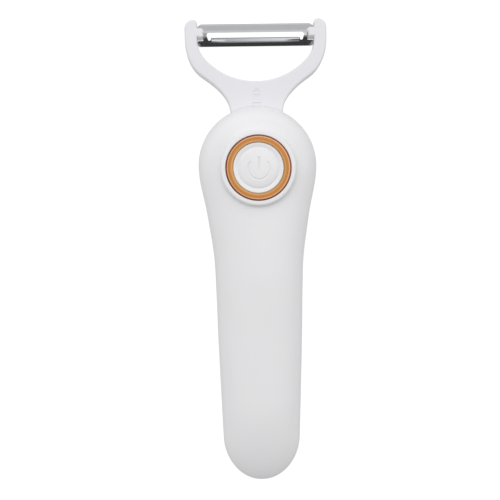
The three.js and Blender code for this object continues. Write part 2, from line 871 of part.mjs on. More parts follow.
/** Cross rib of the tray that hugs both cells, at a share of the chamber's length. */
function trayCradle(placeShare) {
  const y = THREE.MathUtils.lerp(chamberY, chamberEndY, placeShare);
  return slab(trayHalfWidth, y, y + ribThickness, trayPlateZ - cradleDrop, trayPlateZ);
}

/** Round cell with its raised contact, standing on its flat end at the origin, along Y. */
function batteryCell() {
  const shoulder = cellLength - nubHeight;
  const profile = [
    [0, 0],
    [cellRadius - cellRim, 0],
    [cellRadius, cellRim],
    [cellRadius, shoulder - cellRim],
    [cellRadius - cellRim, shoulder],
    [nubRadius, shoulder],
    [nubRadius, cellLength],
    [0, cellLength],
  ];
  const points = profile.map(([radius, height]) => new THREE.Vector2(radius, height));
  return solidOf(new THREE.LatheGeometry(points, roundSides));
}

/** Centre line of a conical contact spring along Y. */
class SpringLine extends THREE.Curve {
  getPoint(share) {
    const angle = share * springTurns * 2 * Math.PI;
    const radius = THREE.MathUtils.lerp(springBaseRadius, springTipRadius, share);
    const y = THREE.MathUtils.lerp(springWireRadius, springLength - springWireRadius, share);
    return new THREE.Vector3(radius * Math.cos(angle), y, radius * Math.sin(angle));
  }
}

/** Regular polygon about the origin. */
function polygon(radius, sides) {
  const points = [];
  for (let i = 0; i < sides; i += 1) {
    const angle = (2 * Math.PI * i) / sides;
    points.push(new THREE.Vector2(radius * Math.cos(angle), radius * Math.sin(angle)));
  }
  return new THREE.Shape(points);
}

/** Tube of some section along a curve. */
function tube(section, line, steps) {
  return solidOf(new THREE.ExtrudeGeometry(section, { extrudePath: line, steps, bevelEnabled: false }));
}

function contactSpring() {
  const steps = Math.round(springTurns * springSteps);
  return tube(polygon(springWireRadius, springSides), new SpringLine(), steps);
}

/** Contact plate across one or both cells, standing upright at a station. */
function contactPlate(halfWidth, x, y) {
  const outline = roundedRectangle(halfWidth, plateHalfWidth, plateCorner, x, cellAxisZ);
  return drawnAlongY(outline, y, y + plateThickness, cornerSteps);
}

function bridgePlate() {
  return contactPlate(cellX + plateHalfWidth, 0, chamberY + fit);
}

/** Upper contact of one cell, with the tab that its wire is soldered to. */
function terminalPlate(side) {
  const y = chamberEndY - fit - plateThickness;
  const x = side * cellX;
  const topZ = trayTopZ + tabProud;
  const tab = block(x - tabHalfWidth, x + tabHalfWidth, y, y + plateThickness, cellAxisZ, topZ);
  return contactPlate(plateHalfWidth, x, y).add(tab);
}

/** Steel can of the motor with its front hub, bored for the shaft. */
function motorCan() {
  const can = drawnAlongY(motorOutline(0), canY, canEndY);
  const hub = rod(hubRadius, 0, motorAxisZ, canEndY - overrun, canEndY + hubLength);
  const bore = rod(shaftRadius + runningGap, 0, motorAxisZ, shaftY - fit, canEndY + overrun, boreSides);
  return join([can, hub]).subtract(bore);
}

/** Moulded end of the motor, a step smaller than the can. */
function motorEndBell() {
  const bell = drawnAlongY(motorOutline(-bellStep), bellY, bellY + bellLength);
  const hub = rod(hubRadius, 0, motorAxisZ, bellY - hubLength, bellY + bellStep);
  return bell.add(hub);
}

/** Solder tab on the end of the motor. */
function motorTerminal(side) {
  const innerX = terminalX - terminalThickness / 2;
  const endY = bellY - fit;
  const lowZ = motorAxisZ - terminalHalfHeight;
  const highZ = motorAxisZ + terminalHalfHeight;
  return sideBlock(side, innerX, innerX + terminalThickness, endY - terminalLength, endY, lowZ, highZ);
}

function motorShaft() {
  return rod(shaftRadius, 0, motorAxisZ, shaftY, shaftEndY, boreSides);
}

/** Half-round weight that hangs from the shaft, with a full hub round its bore. */
function eccentricWeight() {
  const half = new THREE.Shape();
  half.absarc(0, 0, weightRadius, Math.PI, 2 * Math.PI);
  half.closePath();
  const sector = drawnAlongY(half, weightY, weightEndY, 2 * curveSteps).translate(0, 0, motorAxisZ);
  const hub = rod(weightHubRadius, 0, motorAxisZ, weightY, weightEndY);
  const boreRadius = shaftRadius + runningGap;
  const bore = rod(boreRadius, 0, motorAxisZ, weightY - overrun, weightEndY + overrun, boreSides);
  return sector.add(hub).subtract(bore);
}

/** Circuit board that hangs from two posts of the front shell. */
function switchBoard() {
  const outline = roundedRectangle(boardHalfWidth, boardHalfLength, boardCorner, 0, buttonY);
  const board = raised(outline, boardZ, boardTopZ, cornerSteps);
  const holes = [-1, 1].map((side) =>
    pillar(smallShankRadius + fit, side * boardScrewX, buttonY, boardZ - overrun, farTopZ, boreSides),
  );
  return cut(board, holes);
}

function switchBody() {
  const body = slab(switchHalf, buttonY - switchHalf, buttonY + switchHalf, switchZ, switchTopZ);
  const boreZ = switchTopZ - switchBoreDepth;
  return body.subtract(pillar(plungerRadius + fit, 0, buttonY, boreZ, farTopZ));
}

function switchPlunger() {
  return pillar(plungerRadius, 0, buttonY, plungerTopZ - plungerLength, plungerTopZ);
}

/** Button: a low dome, a round valley and a rim, on a skirt with a flange that keeps it in. */
function buttonCap() {
  const rimTopZ = bezelTopZ;
  const valleyZ = rimTopZ - valleyDrop;
  const profile = [[0, stemZ], [stemRadius, stemZ], [stemRadius, valleyZ - capWall]];
  profile.push(
    [buttonRadius - capWall, valleyZ - capWall],
    [buttonRadius - capWall, flangeZ],
    [flangeRadius, flangeZ],
    [flangeRadius, flangeTopZ],
    [buttonRadius, flangeTopZ],
    [buttonRadius, rimTopZ - rimRound],
    [buttonRadius - rimRound, rimTopZ],
    [domeRadius + valleyWidth, valleyZ],
  );
  for (let i = 0; i <= domeSteps; i += 1) {
    const outward = 1 - i / domeSteps;
    profile.push([domeRadius * outward, valleyZ + domeHeight * Math.sqrt(1 - outward ** 2)]);
  }
  return turned(profile, bezelSides).translate(0, buttonY, 0);
}

/** Coloured ring that lies in its seat between the button and the bezel. */
function trimRing() {
  const profile = [
    [ringInnerRadius, ringZ],
    [ringOuterRadius, ringZ],
    [ringOuterRadius, ringTopZ - ringEdge],
    [ringOuterRadius - ringEdge, ringTopZ],
    [ringInnerRadius + ringEdge, ringTopZ],
    [ringInnerRadius, ringTopZ - ringEdge],
    [ringInnerRadius, ringZ],
  ];
  return turned(profile, bezelSides).translate(0, buttonY, 0);
}

/** Screw with its head down and a slot across the head; the head's underside is at the origin. */
function screw(shankRadius, shankLength, headRadius, headHeight) {
  const shank = pillar(shankRadius, 0, 0, -headHeight / 2, shankLength, boreSides);
  const head = pillar(headRadius, 0, 0, -headHeight, 0, boreSides);
  const halfSlot = slotWidth / 2;
  const slotZ = slotDepth - headHeight;
  const slot = slab(headRadius + overrun, -halfSlot, halfSlot, -headHeight - overrun, slotZ);
  return shank.add(head).subtract(slot);
}

/** Block that grips the tongue of the yoke. */
function headSocket() {
  const tongueRoom = drawnAlongY(
    roundedRectangle(tongueHalfWidth + fit, tongueHalfHeight + fit, fit, 0, partingZ),
    socketY + socketFloor,
    socketEndY + overrun,
    2,
  );
  return socketSpace(0).subtract(tongueRoom);
}

/** Outline of the yoke's right half and then of its left half, from the neck round both arms. */
function yokeOutline() {
  const shape = new THREE.Shape();
  const firstBendY = flareTurnY - (flareTurnX - neckHalfWidth) / Math.tan(flareAngle);
  const secondBendY = flareTurnY + (armOuterX - flareTurnX) / Math.tan(flareAngle);
  const outerY = armEndY - armOuterCorner;
  const outerX = armOuterX - armOuterCorner;
  const innerY = armEndY - armInnerCorner;
  const innerX = armInnerX + armInnerCorner;
  const filletX = armInnerX - forkFillet;
  const forkY = forkBottomY + forkRadius;
  const filletY = forkY - Math.sqrt((forkRadius - forkFillet) ** 2 - filletX ** 2);
  const tangent = Math.atan2(filletY - forkY, filletX);
  shape.moveTo(-neckHalfWidth, neckY);
  shape.lineTo(neckHalfWidth, neckY);
  shape.lineTo(neckHalfWidth, flareY);
  shape.quadraticCurveTo(neckHalfWidth, firstBendY, flareTurnX, flareTurnY);
  shape.quadraticCurveTo(armOuterX, secondBendY, armOuterX, shoulderEndY);
  shape.absarc(outerX, outerY, armOuterCorner, 0, Math.PI / 2);
  shape.absarc(innerX, innerY, armInnerCorner, Math.PI / 2, Math.PI);
  shape.absarc(filletX, filletY, forkFillet, 0, tangent, true);
  shape.absarc(0, forkY, forkRadius, tangent, -Math.PI - tangent, true);
  shape.absarc(-filletX, filletY, forkFillet, -Math.PI - tangent, -Math.PI, true);
  shape.absarc(-innerX, innerY, armInnerCorner, 0, Math.PI / 2);
  shape.absarc(-outerX, outerY, armOuterCorner, Math.PI / 2, Math.PI);
  shape.lineTo(-armOuterX, shoulderEndY);
  shape.quadraticCurveTo(-armOuterX, secondBendY, -flareTurnX, flareTurnY);
  shape.quadraticCurveTo(-neckHalfWidth, firstBendY, -neckHalfWidth, flareY);
  shape.closePath();
  return shape;
}

/** Fork with rounded edges that grows thicker from its neck to its arms. */
function yokeFork() {
  const geometry = new THREE.ExtrudeGeometry(yokeOutline(), {
    depth: 2 * (neckHalfHeight - yokeBevel),
    curveSegments: forkSteps,
    bevelThickness: yokeBevel,
    bevelSize: yokeBevel,
    bevelOffset: -yokeBevel,
    bevelSegments: 2,
  });
  const place = geometry.getAttribute("position");
  const growth = armHalfHeight / neckHalfHeight - 1;
  for (let i = 0; i < place.count; i += 1) {
    const grown = THREE.MathUtils.smoothstep(place.getY(i), flareY, shoulderEndY);
    const height = place.getZ(i) - neckHalfHeight + yokeBevel;
    place.setZ(i, partingZ + height * (1 + growth * grown));
  }
  return solidOf(geometry);
}

/** Stub on an arm that the blade's pivot turns in. */
function yokeStub(side) {
  const shape = roundedRectangle(stubHalfWidth, armHalfHeight, stubCorner, bladeY, partingZ);
  const stub = drawnAlongX(shape, armInnerX + yokeBevel + fit, cornerSteps);
  const [lowX, highX] = side > 0 ? [stubX, armOuterX] : [-armOuterX, -stubX];
  const reach = block(lowX, highX, bladeY - overrun, armEndY, -overrun, farTopZ);
  return stub.intersect(reach);
}

/** Yoke with its tongue, its blade stubs and the groove for its seal. */
function yoke() {
  const tongue = drawnAlongY(
    roundedRectangle(tongueHalfWidth, tongueHalfHeight, tongueChamfer, 0, partingZ),
    tongueY,
    neckY + neckLength,
    2,
  );
  const body = join([yokeFork(), tongue, yokeStub(-1), yokeStub(1)]);
  const grooveBox = slab(2 * neckHalfWidth, grooveY, grooveEndY, 0, farTopZ);
  const coreHeight = neckHalfHeight - sealDepth;
  const core = slab(neckHalfWidth - sealDepth, neckY, flareY, partingZ - coreHeight, partingZ + coreHeight);
  const boreX = armInnerX - stubSkin;
  const bores = [
    crossBar(stubBoreRadius, bladeY, partingZ, 0, boreX),
    crossBar(stubBoreRadius, bladeY, partingZ, -boreX, 0),
  ];
  return cut(body, [grooveBox.subtract(core), ...bores]);
}

/** Rubber band that lies in the neck's groove and stands a little proud of it. */
function neckSeal() {
  const lowY = grooveY + runningGap;
  const highY = lowY + sealWidth;
  const outerX = neckHalfWidth + sealProud;
  const outerZ = neckHalfHeight + sealProud;
  const innerX = neckHalfWidth - sealDepth + runningGap;
  const innerZ = neckHalfHeight - sealDepth + runningGap;
  const outer = drawnAlongY(roundedRectangle(outerX, outerZ, yokeBevel, 0, partingZ), lowY, highY, 2);
  const endY = highY + overrun;
  return outer.subtract(slab(innerX, lowY - overrun, endY, partingZ - innerZ, partingZ + innerZ));
}

/** Height of the blade's upper face above its pivot, at a distance from the ridge. */
function bladeTopHeight(distance) {
  const arcWidth = ridgeRadius * Math.sin(wingAngle);
  const arcDrop = ridgeRadius * (1 - Math.cos(wingAngle));
  return bladeThickness / 2 - arcDrop - (distance - arcWidth) * Math.tan(wingAngle);
}

/** Section of the blade: a round ridge between two flat wings. */
function bladeSection() {
  const centre = bladeThickness / 2 - ridgeRadius;
  const innerRadius = ridgeRadius - bladeThickness;
  const start = Math.PI / 2 - wingAngle;
  const wingTop = bladeTopHeight(bladeHalfWidth);
  const wingUnder = wingTop - bladeThickness / Math.cos(wingAngle);
  const shape = new THREE.Shape();
  shape.moveTo(bladeHalfWidth, wingUnder);
  shape.lineTo(bladeHalfWidth, wingTop);
  shape.absarc(0, centre, ridgeRadius, start, Math.PI - start);
  shape.lineTo(-bladeHalfWidth, wingTop);
  shape.lineTo(-bladeHalfWidth, wingUnder);
  shape.absarc(0, centre, innerRadius, Math.PI - start, start, true);
  shape.closePath();
  return shape;
}

/** Lip that is lanced from the lower wing and bent level, with its edge along the slot. */
function bladeLip() {
  const top = bladeTopHeight(lipRoot);
  const rootTop = bladeTopHeight(lipRoot + lipBlend);
  const under = top - bladeThickness;
  const shape = new THREE.Shape();
  shape.moveTo(-slotLow, top);
  shape.lineTo(-lipRoot, top);
  shape.lineTo(-lipRoot - lipBlend, rootTop - edgeThickness / 2);
  shape.lineTo(-lipRoot - lipBlend, rootTop - bladeThickness);
  shape.lineTo(-lipRoot, under);
  shape.lineTo(-slotLow, top - edgeThickness);
  shape.closePath();
  return drawnAlongX(shape, lipHalfLength);
}

/** Blade about its own pivot: pressed strip, slot, lanced lip, end notches and pivots. */
function blade() {
  const strip = drawnAlongX(bladeSection(), bladeHalfLength);
  const outline = roundedRectangle(bladeHalfLength, bladeHalfWidth, bladeCorner);
  const trimmed = strip.intersect(raised(outline, -bladeHalfWidth, bladeHalfWidth, slotSteps));
  const slotMiddle = (slotHigh - slotLow) / 2;
  const slotHalf = (slotHigh + slotLow) / 2;
  const slotShape = roundedRectangle(slotHalfLength, slotHalf, slotHalf - edgeThickness, 0, slotMiddle);
  const slot = raised(slotShape, -bladeHalfWidth, bladeHalfWidth, slotSteps);
  const window = block(-lipHalfLength, lipHalfLength, -lipRoot, 0, -bladeHalfWidth, bladeHalfWidth);
  const cuts = [slot, window];
  const pivots = [];
  for (const side of [-1, 1]) {
    cuts.push(sideBlock(side, lipHalfLength, reliefX, -reliefLow, 0, -bladeHalfWidth, bladeHalfWidth));
    const farX = bladeHalfLength + overrun;
    cuts.push(sideBlock(side, notchX, farX, -notchHalf, notchHalf, -bladeHalfWidth, bladeHalfWidth));
    const half = bladeThickness / 2;
    const rootX = notchX - bladeThickness;
    pivots.push(sideBlock(side, rootX, pivotX, -pivotHalfWidth, pivotHalfWidth, -half, half));
  }
  return join([cut(trimmed, cuts), bladeLip(), ...pivots]);
}

/** Wire through some points. */
function lead(points) {
  const line = new THREE.CatmullRomCurve3(points.map((point) => new THREE.Vector3(...point)));
  return tube(polygon(leadRadius, leadSides), line, Math.ceil(line.getLength() / leadStep));
}

/** From the positive contact over the motor to the circuit board. */
function leadPlus() {
  const z = trayTopZ + fit + leadRadius;
  const boardLeadZ = boardTopZ + fit + leadRadius;
  const boardY = buttonY - boardHalfLength;
  return lead([
    [-cellX, chamberEndY, z],
    [-cellX, trayEndY + fit, z],
    [-leadInnerX, canY, z - leadSag],
    [-leadInnerX, canEndY, z - leadSag],
    [-leadInnerX, boardY - leadStep, boardLeadZ],
    [-leadInnerX, boardY + leadStep, boardLeadZ],
  ]);
}

/** From the circuit board back over the motor and down to its terminal. */
function leadSwitch() {
  const boardLeadZ = boardTopZ + fit + leadRadius;
  const boardY = buttonY - boardHalfLength;
  const dropY = (trayEndY + bellY) / 2;
  const endX = terminalX + terminalThickness + fit;
  return lead([
    [-leadOuterX, boardY + leadStep, boardLeadZ],
    [-leadOuterX, boardY - leadStep, boardLeadZ],
    [-leadOuterX, canEndY, boardLeadZ - leadSag],
    [-leadOuterX, bellY + leadStep, boardLeadZ - leadSag],
    [-leadOuterX, dropY, boardLeadZ - 4 * leadSag],
    [-leadOuterX, dropY, motorAxisZ + 2 * leadSag],
    [-leadInnerX, dropY, motorAxisZ],
    [-endX, dropY, motorAxisZ],
  ]);
}

/** From the negative contact down to the motor's other terminal. */
function leadMinus() {
  const z = trayTopZ + fit + leadRadius;
  const dropY = (trayEndY + bellY) / 2;
  const endX = terminalX + terminalThickness + fit;
  return lead([
    [cellX, chamberEndY, z],
    [cellX, trayEndY + fit, z],
    [leadInnerX, dropY, z - 2 * leadSag],
    [leadInnerX + leadRadius, dropY, cellAxisZ + 2 * leadSag],
    [leadInnerX, dropY, motorAxisZ],
    [endX, dropY, motorAxisZ],
  ]);
}

function material(color, roughness, metalness = 0) {
  return new THREE.MeshStandardMaterial({ color, roughness, metalness });
}

const whitePlastic = () => material("#f3f3f5", 0.28);
const darkPlastic = () => material("#3a3c40", 0.5);
const greyPlastic = () => material("#b9bcc0", 0.5);
const orangeRing = () => material("#d0924a", 0.3, 0.7);
const bladeSteel = () => material("#c4c7ca", 0.25, 1);
const springSteel = () => material("#b8babc", 0.35, 1);
const zincSteel = () => material("#a4a7a9", 0.4, 1);
const boardGreen = () => material("#2f6b45", 0.55);
const softRubber = () => material("#8c8f93", 0.8);
const wireRed = () => material("#b8352c", 0.5);
const wireBlack = () => material("#26272a", 0.5);
const wireBlue = () => material("#2c4f9e", 0.5);
const cellWrap = () => material("#5d6a75", 0.35, 0.3);
const tungsten = () => material("#6f7072", 0.4, 1);

/** Named mesh of a solid, placed and turned in its group. */
function piece(group, name, solid, surface, x = 0, y = 0, z = 0) {
  const mesh = new THREE.Mesh(geometryOf(solid), surface);
  mesh.name = name;
  mesh.position.set(x, y, z);
  group.add(mesh);
  return mesh;
}

const sides = [
  ["left", -1],
  ["right", 1],
];

function buildHousing() {
  const housing = new THREE.Group();
  piece(housing, "front_shell", frontShell(), whitePlastic());
  piece(housing, "rear_shell", rearShell(), whitePlastic());
  piece(housing, "battery_cover", batteryCover(), whitePlastic());
  piece(housing, "head_socket", headSocket(), greyPlastic());
  const shellScrew = screw(screwShankRadius, shellShankLength, screwHeadRadius, screwHeadHeight);
  for (const [name, x, y] of shellPosts()) {
    piece(housing, `shell_screw_${name}`, shellScrew, zincSteel(), x, y, screwSeatZ - fit);
  }
  return housing;
}

function buildPowerPack() {
  const pack = new THREE.Group();
  piece(pack, "battery_tray", batteryTray(), darkPlastic());
  piece(pack, "bridge_plate", bridgePlate(), springSteel());
  piece(pack, "plus_terminal", terminalPlate(-1), springSteel());
  piece(pack, "minus_terminal", terminalPlate(1), springSteel());
  const cellY = chamberEndY - fit - plateThickness - fit - cellLength;
  const springY = chamberY + fit + plateThickness + fit;
  piece(pack, "battery_cell_left", batteryCell(), cellWrap(), -cellX, cellY, cellAxisZ);
  const spring = contactSpring();
  const turnedCell = piece(pack, "battery_cell_right", batteryCell(), cellWrap(), cellX, 0, cellAxisZ);
  turnedCell.rotation.z = Math.PI;
  turnedCell.position.y = springY + cellLength;
  piece(pack, "contact_spring_left", spring, springSteel(), -cellX, springY, cellAxisZ);
  const turnedSpring = piece(pack, "contact_spring_right", spring, springSteel(), cellX, 0, cellAxisZ);
  turnedSpring.rotation.z = Math.PI;
  turnedSpring.position.y = cellY + cellLength;
  const trayScrew = screw(smallShankRadius, trayShankLength, smallHeadRadius, smallHeadHeight);
  for (const [name, side] of sides) {
    piece(pack, `tray_screw_${name}`, trayScrew, zincSteel(), side * trayScrewX, trayScrewY, footZ - fit);
  }
  return pack;
}

function buildMotor() {
  const motor = new THREE.Group();
  piece(motor, "motor_can", motorCan(), zincSteel());
  piece(motor, "motor_end_bell", motorEndBell(), greyPlastic());
  for (const [name, side] of sides) {
    piece(motor, `motor_terminal_${name}`, motorTerminal(side), springSteel());
  }
  piece(motor, "motor_shaft", motorShaft(), zincSteel());
  piece(motor, "eccentric_weight", eccentricWeight(), tungsten());
  piece(motor, "lead_plus", leadPlus(), wireRed());
  piece(motor, "lead_switch", leadSwitch(), wireBlue());
  piece(motor, "lead_minus", leadMinus(), wireBlack());
  return motor;
}

function buildControls() {
  const controls = new THREE.Group();
  piece(controls, "trim_ring", trimRing(), orangeRing());
  piece(controls, "button_cap", buttonCap(), whitePlastic());
  piece(controls, "switch_plunger", switchPlunger(), darkPlastic());
  piece(controls, "switch_body", switchBody(), darkPlastic());
  piece(controls, "switch_board", switchBoard(), boardGreen());
  const boardScrew = screw(smallShankRadius, boardShankLength, smallHeadRadius, smallHeadHeight);
  for (const [name, side] of sides) {
    const x = side * boardScrewX;
    piece(controls, `board_screw_${name}`, boardScrew, zincSteel(), x, buttonY, boardZ - fit);
  }
  return controls;
}

function buildHead() {
  const head = new THREE.Group();
  piece(head, "yoke", yoke(), whitePlastic());
  piece(head, "neck_seal", neckSeal(), softRubber());
  piece(head, "blade", blade(), bladeSteel(), 0, bladeY, partingZ);
  return head;
}

/** The whole peeler, moved so that its origin is at the middle of its box, on the rest plane. */
function buildPeeler() {
  const peeler = new THREE.Group();
  peeler.add(buildHousing(), buildPowerPack(), buildMotor(), buildControls(), buildHead());
  peeler.position.y = -new THREE.Box3().setFromObject(peeler).getCenter(new THREE.Vector3()).y;
  return peeler;
}

export default buildPeeler();
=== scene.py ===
"""Electric potato peeler: its visible pieces, their finishes, the studio and the camera.

Sizes are in millimetres. Places run along the handle from its lower end, and heights are counted
from the plane that the peeler rests on; one function turns them into the frame's metres.
"""

import sys

import logging
import math
from dataclasses import dataclass
from enum import Enum
from typing import Callable, Iterable, Sequence

import bmesh
import bpy
from mathutils import Matrix, Vector


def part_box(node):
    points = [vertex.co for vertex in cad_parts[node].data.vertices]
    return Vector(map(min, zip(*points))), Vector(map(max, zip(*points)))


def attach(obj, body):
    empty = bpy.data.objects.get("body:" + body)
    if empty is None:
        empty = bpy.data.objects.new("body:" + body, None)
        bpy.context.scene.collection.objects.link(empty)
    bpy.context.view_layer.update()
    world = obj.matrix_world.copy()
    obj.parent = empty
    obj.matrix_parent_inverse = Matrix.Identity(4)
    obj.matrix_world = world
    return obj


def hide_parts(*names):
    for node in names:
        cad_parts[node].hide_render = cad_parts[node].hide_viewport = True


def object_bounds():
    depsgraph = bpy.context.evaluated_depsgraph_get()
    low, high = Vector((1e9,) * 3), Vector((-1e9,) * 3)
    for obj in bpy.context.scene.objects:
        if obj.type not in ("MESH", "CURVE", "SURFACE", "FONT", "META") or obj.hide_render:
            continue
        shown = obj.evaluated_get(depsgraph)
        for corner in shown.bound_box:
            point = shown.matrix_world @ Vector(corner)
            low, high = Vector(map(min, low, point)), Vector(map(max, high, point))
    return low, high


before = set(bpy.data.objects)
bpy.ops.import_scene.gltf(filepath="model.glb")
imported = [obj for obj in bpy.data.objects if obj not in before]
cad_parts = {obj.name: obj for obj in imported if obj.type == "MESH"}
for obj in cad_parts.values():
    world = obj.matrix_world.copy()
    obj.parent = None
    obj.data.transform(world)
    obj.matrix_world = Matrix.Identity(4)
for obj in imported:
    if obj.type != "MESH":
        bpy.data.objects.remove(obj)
cad_low, cad_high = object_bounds()

log = logging.getLogger("peeler")

MM = 0.001
LOW_END = cad_low.y / MM
MERGE = 1e-4

Point = tuple[float, float]
Corner = tuple[float, float, float]
Colour = tuple[float, float, float, float]
Solid = bmesh.types.BMesh
Piece = bpy.types.Object
Tree = bpy.types.NodeTree
Socket = bpy.types.NodeSocket


# Helpers for shapes


class Combine(Enum):
    """How one solid changes another."""

    JOIN = "UNION"
    CUT = "DIFFERENCE"
    KEEP = "INTERSECT"


def make_object(bm: Solid, name: str) -> Piece:
    """Turn a mesh in millimetres into an object in the frame.

    Args:
        bm: Mesh in the part's own millimetres. It is freed.
        name: Name of the object.

    Returns:
        The object, linked to the scene, with its place in its mesh.
    """
    place = Matrix.Scale(MM, 4) @ Matrix.Translation((0, LOW_END, 0))
    bm.transform(place)
    mesh = bpy.data.meshes.new(name)
    bm.to_mesh(mesh)
    bm.free()
    made = bpy.data.objects.new(name, mesh)
    bpy.context.scene.collection.objects.link(made)
    return made


def settle(target: Piece) -> None:
    """Make the result of an object's modifiers its own mesh.

    Args:
        target: Object whose modifiers are used up.
    """
    graph = bpy.context.evaluated_depsgraph_get()
    mesh = bpy.data.meshes.new_from_object(target.evaluated_get(graph))
    old = target.data
    target.modifiers.clear()
    target.data = mesh
    bpy.data.meshes.remove(old)


def combine(target: Piece, bm: Solid, how: Combine) -> None:
    """Join a solid to an object, cut it out of the object, or keep what both share.

    Args:
        target: Object that is changed.
        bm: The other solid, in millimetres. It is freed.
        how: What is done with it.
    """
    tool = make_object(bm, "tool")
    modifier = target.modifiers.new("combine", "BOOLEAN")
    modifier.operation = how.value
    modifier.solver = "EXACT"
    modifier.object = tool
    settle(target)
    mesh = tool.data
    bpy.data.objects.remove(tool)
    bpy.data.meshes.remove(mesh)


def taken(target: Piece) -> Solid:
    """The mesh of an object, back in the part's millimetres; the object is deleted.

    Args:
        target: Object that gives its mesh.

    Returns:
        The mesh.
    """
    bm = bmesh.new()
    mesh = target.data
    bm.from_mesh(mesh)
    bpy.data.objects.remove(target)
    bpy.data.meshes.remove(mesh)
    bm.transform(Matrix.Translation((0, -LOW_END, 0)) @ Matrix.Scale(1 / MM, 4))
    return bm


def shade(target: Piece, sharp_degrees: float = 35.0) -> None:
    """Shade an object smoothly, with a crease where its faces meet at a large angle.

    Args:
        target: Object to shade.
        sharp_degrees: Angle from which an edge is a crease.
    """
    for face in target.data.polygons:
        face.use_smooth = True
    target.data.set_sharp_from_angle(angle=math.radians(sharp_degrees))


def everything(bm: Solid) -> list:
    """All vertices, edges and faces of a mesh, as the operators take them."""
    return [*bm.verts, *bm.edges, *bm.faces]


def trim(bm: Solid, place: Sequence[float], away: Sequence[float], fill: bool = True) -> None:
    """Cut off what lies beyond a plane.

    Args:
        bm: Mesh that is cut.
        place: A point of the plane.
        away: Direction of the side that goes.
        fill: Whether the cut is closed with a face.
    """
    cut = bmesh.ops.bisect_plane(
        bm, geom=everything(bm), plane_co=place, plane_no=away, clear_outer=True
    )
    if fill:
        edges = [item for item in cut["geom_cut"] if isinstance(item, bmesh.types.BMEdge)]
        bmesh.ops.contextual_create(bm, geom=edges)


def score(bm: Solid, axis: int, places: Iterable[float]) -> None:
    """Draw edges across a mesh where planes square to an axis meet it.

    Args:
        bm: Mesh that is scored.
        axis: 0, 1 or 2 for planes square to X, Y or Z.
        places: Where the planes stand.
    """
    normal = Vector((axis == 0, axis == 1, axis == 2))
    for place in places:
        bmesh.ops.bisect_plane(bm, geom=everything(bm), plane_co=normal * place, plane_no=normal)


def box(low: Sequence[float], high: Sequence[float], rounding: float = 0.0) -> Solid:
    """Box between two corners, with its edges rounded if asked.

    Args:
        low: Lowest corner.
        high: Highest corner.
        rounding: Radius of the edges.

    Returns:
        The box.
    """
    bm = bmesh.new()
    size = Vector(high) - Vector(low)
    middle = (Vector(high) + Vector(low)) / 2
    place = Matrix.Translation(middle) @ Matrix.Diagonal((*size, 1))
    bmesh.ops.create_cube(bm, size=1, matrix=place)
    if rounding:
        bevel(bm, bm.edges[:], rounding)
    return bm


def bevel(bm: Solid, parts: list, width: float, segments: int = 3) -> None:
    """Round some edges.

    Args:
        bm: Mesh that holds them.
        parts: The edges.
        width: Distance that the rounding takes from each side.
        segments: Steps of the rounding.
    """
    bmesh.ops.bevel(
        bm, geom=parts, offset=width, segments=segments, affect="EDGES", profile=0.5, material=-1
    )


def round_corners(profile: Sequence[Corner], steps: int = 4) -> list[Point]:
    """Round the corners of an open or closed profile.

    Args:
        profile: Points with the radius of the corner at each; zero keeps the corner.
        steps: Steps of each rounding.

    Returns:
        The points of the rounded profile.
    """
    points: list[Point] = []
    count = len(profile)
    for i, (x, y, radius) in enumerate(profile):
        if not radius:
            points.append((x, y))
            continue
        here = Vector((x, y))
        before = (Vector(profile[i - 1][:2]) - here).normalized()
        after = (Vector(profile[(i + 1) % count][:2]) - here).normalized()
        half = before.angle(after) / 2
        middle = here + (before + after).normalized() * (radius / math.sin(half))
        start = here + before * (radius / math.tan(half)) - middle
        end = here + after * (radius / math.tan(half)) - middle
        for step in range(steps + 1):
            spoke = start.lerp(end, step / steps).normalized() * radius
            points.append(tuple(middle + spoke))
    return points


def lathe(profile: Sequence[Point], centre: Sequence[float] = (0, 0, 0), steps: int = 96) -> Solid:
    """Spin a closed profile of radii and heights into a turned piece.

    Args:
        profile: Points as radius and height.
        centre: Place of the axis, and height that the profile's heights are added to.
        steps: Steps of the full turn.

    Returns:
        The turned piece.
    """
    bm = bmesh.new()
    verts = [bm.verts.new((radius, 0, height)) for radius, height in profile]
    edges = [bm.edges.new(pair) for pair in zip(verts, verts[1:] + verts[:1])]
    whole = {"cent": (0, 0, 0), "axis": (0, 0, 1), "angle": 2 * math.pi, "steps": steps}
    bmesh.ops.spin(bm, geom=verts + edges, use_merge=True, **whole)
    bmesh.ops.remove_doubles(bm, verts=bm.verts[:], dist=MERGE)
    bmesh.ops.recalc_face_normals(bm, faces=bm.faces[:])
    bmesh.ops.translate(bm, verts=bm.verts[:], vec=centre)
    return bm


def rod(radius: float, length: float, place: Matrix, steps: int) -> Solid:
    """Cylinder.

    Args:
        radius: Its radius.
        length: Its length, along its own Z axis.
        place: Where its middle lies, and how it is turned.
        steps: Sides of the circle.

    Returns:
        The cylinder.
    """
    bm = bmesh.new()
    ends = {"radius1": radius, "radius2": radius, "cap_ends": True}
    bmesh.ops.create_cone(bm, segments=steps, depth=length, matrix=place, **ends)
    return bm


def pillar(radius: float, x: float, y: float, low: float, high: float, steps: int = 48) -> Solid:
    """Upright cylinder on an axis at x and y, from a low to a high end."""
    return rod(radius, high - low, Matrix.Translation((x, y, (low + high) / 2)), steps)


def capsule(radius: float, start: Sequence[float], end: Sequence[float], steps: int = 24) -> Solid:
    """Rod with round ends.

    Args:
        radius: Its radius.
        start: Centre of one end.
        end: Centre of the other end.
        steps: Sides of the rod.

    Returns:
        The rod.
    """
    bm = bmesh.new()
    bmesh.ops.create_uvsphere(bm, u_segments=steps, v_segments=steps // 2, radius=radius)
    reach = Vector(end) - Vector(start)
    bmesh.ops.translate(
        bm, verts=[v for v in bm.verts if v.co.z > radius / steps], vec=(0, 0, reach.length)
    )
    turn = reach.to_track_quat("Z", "Y").to_matrix().to_4x4()
    bm.transform(Matrix.Translation(start) @ turn)
    return bm


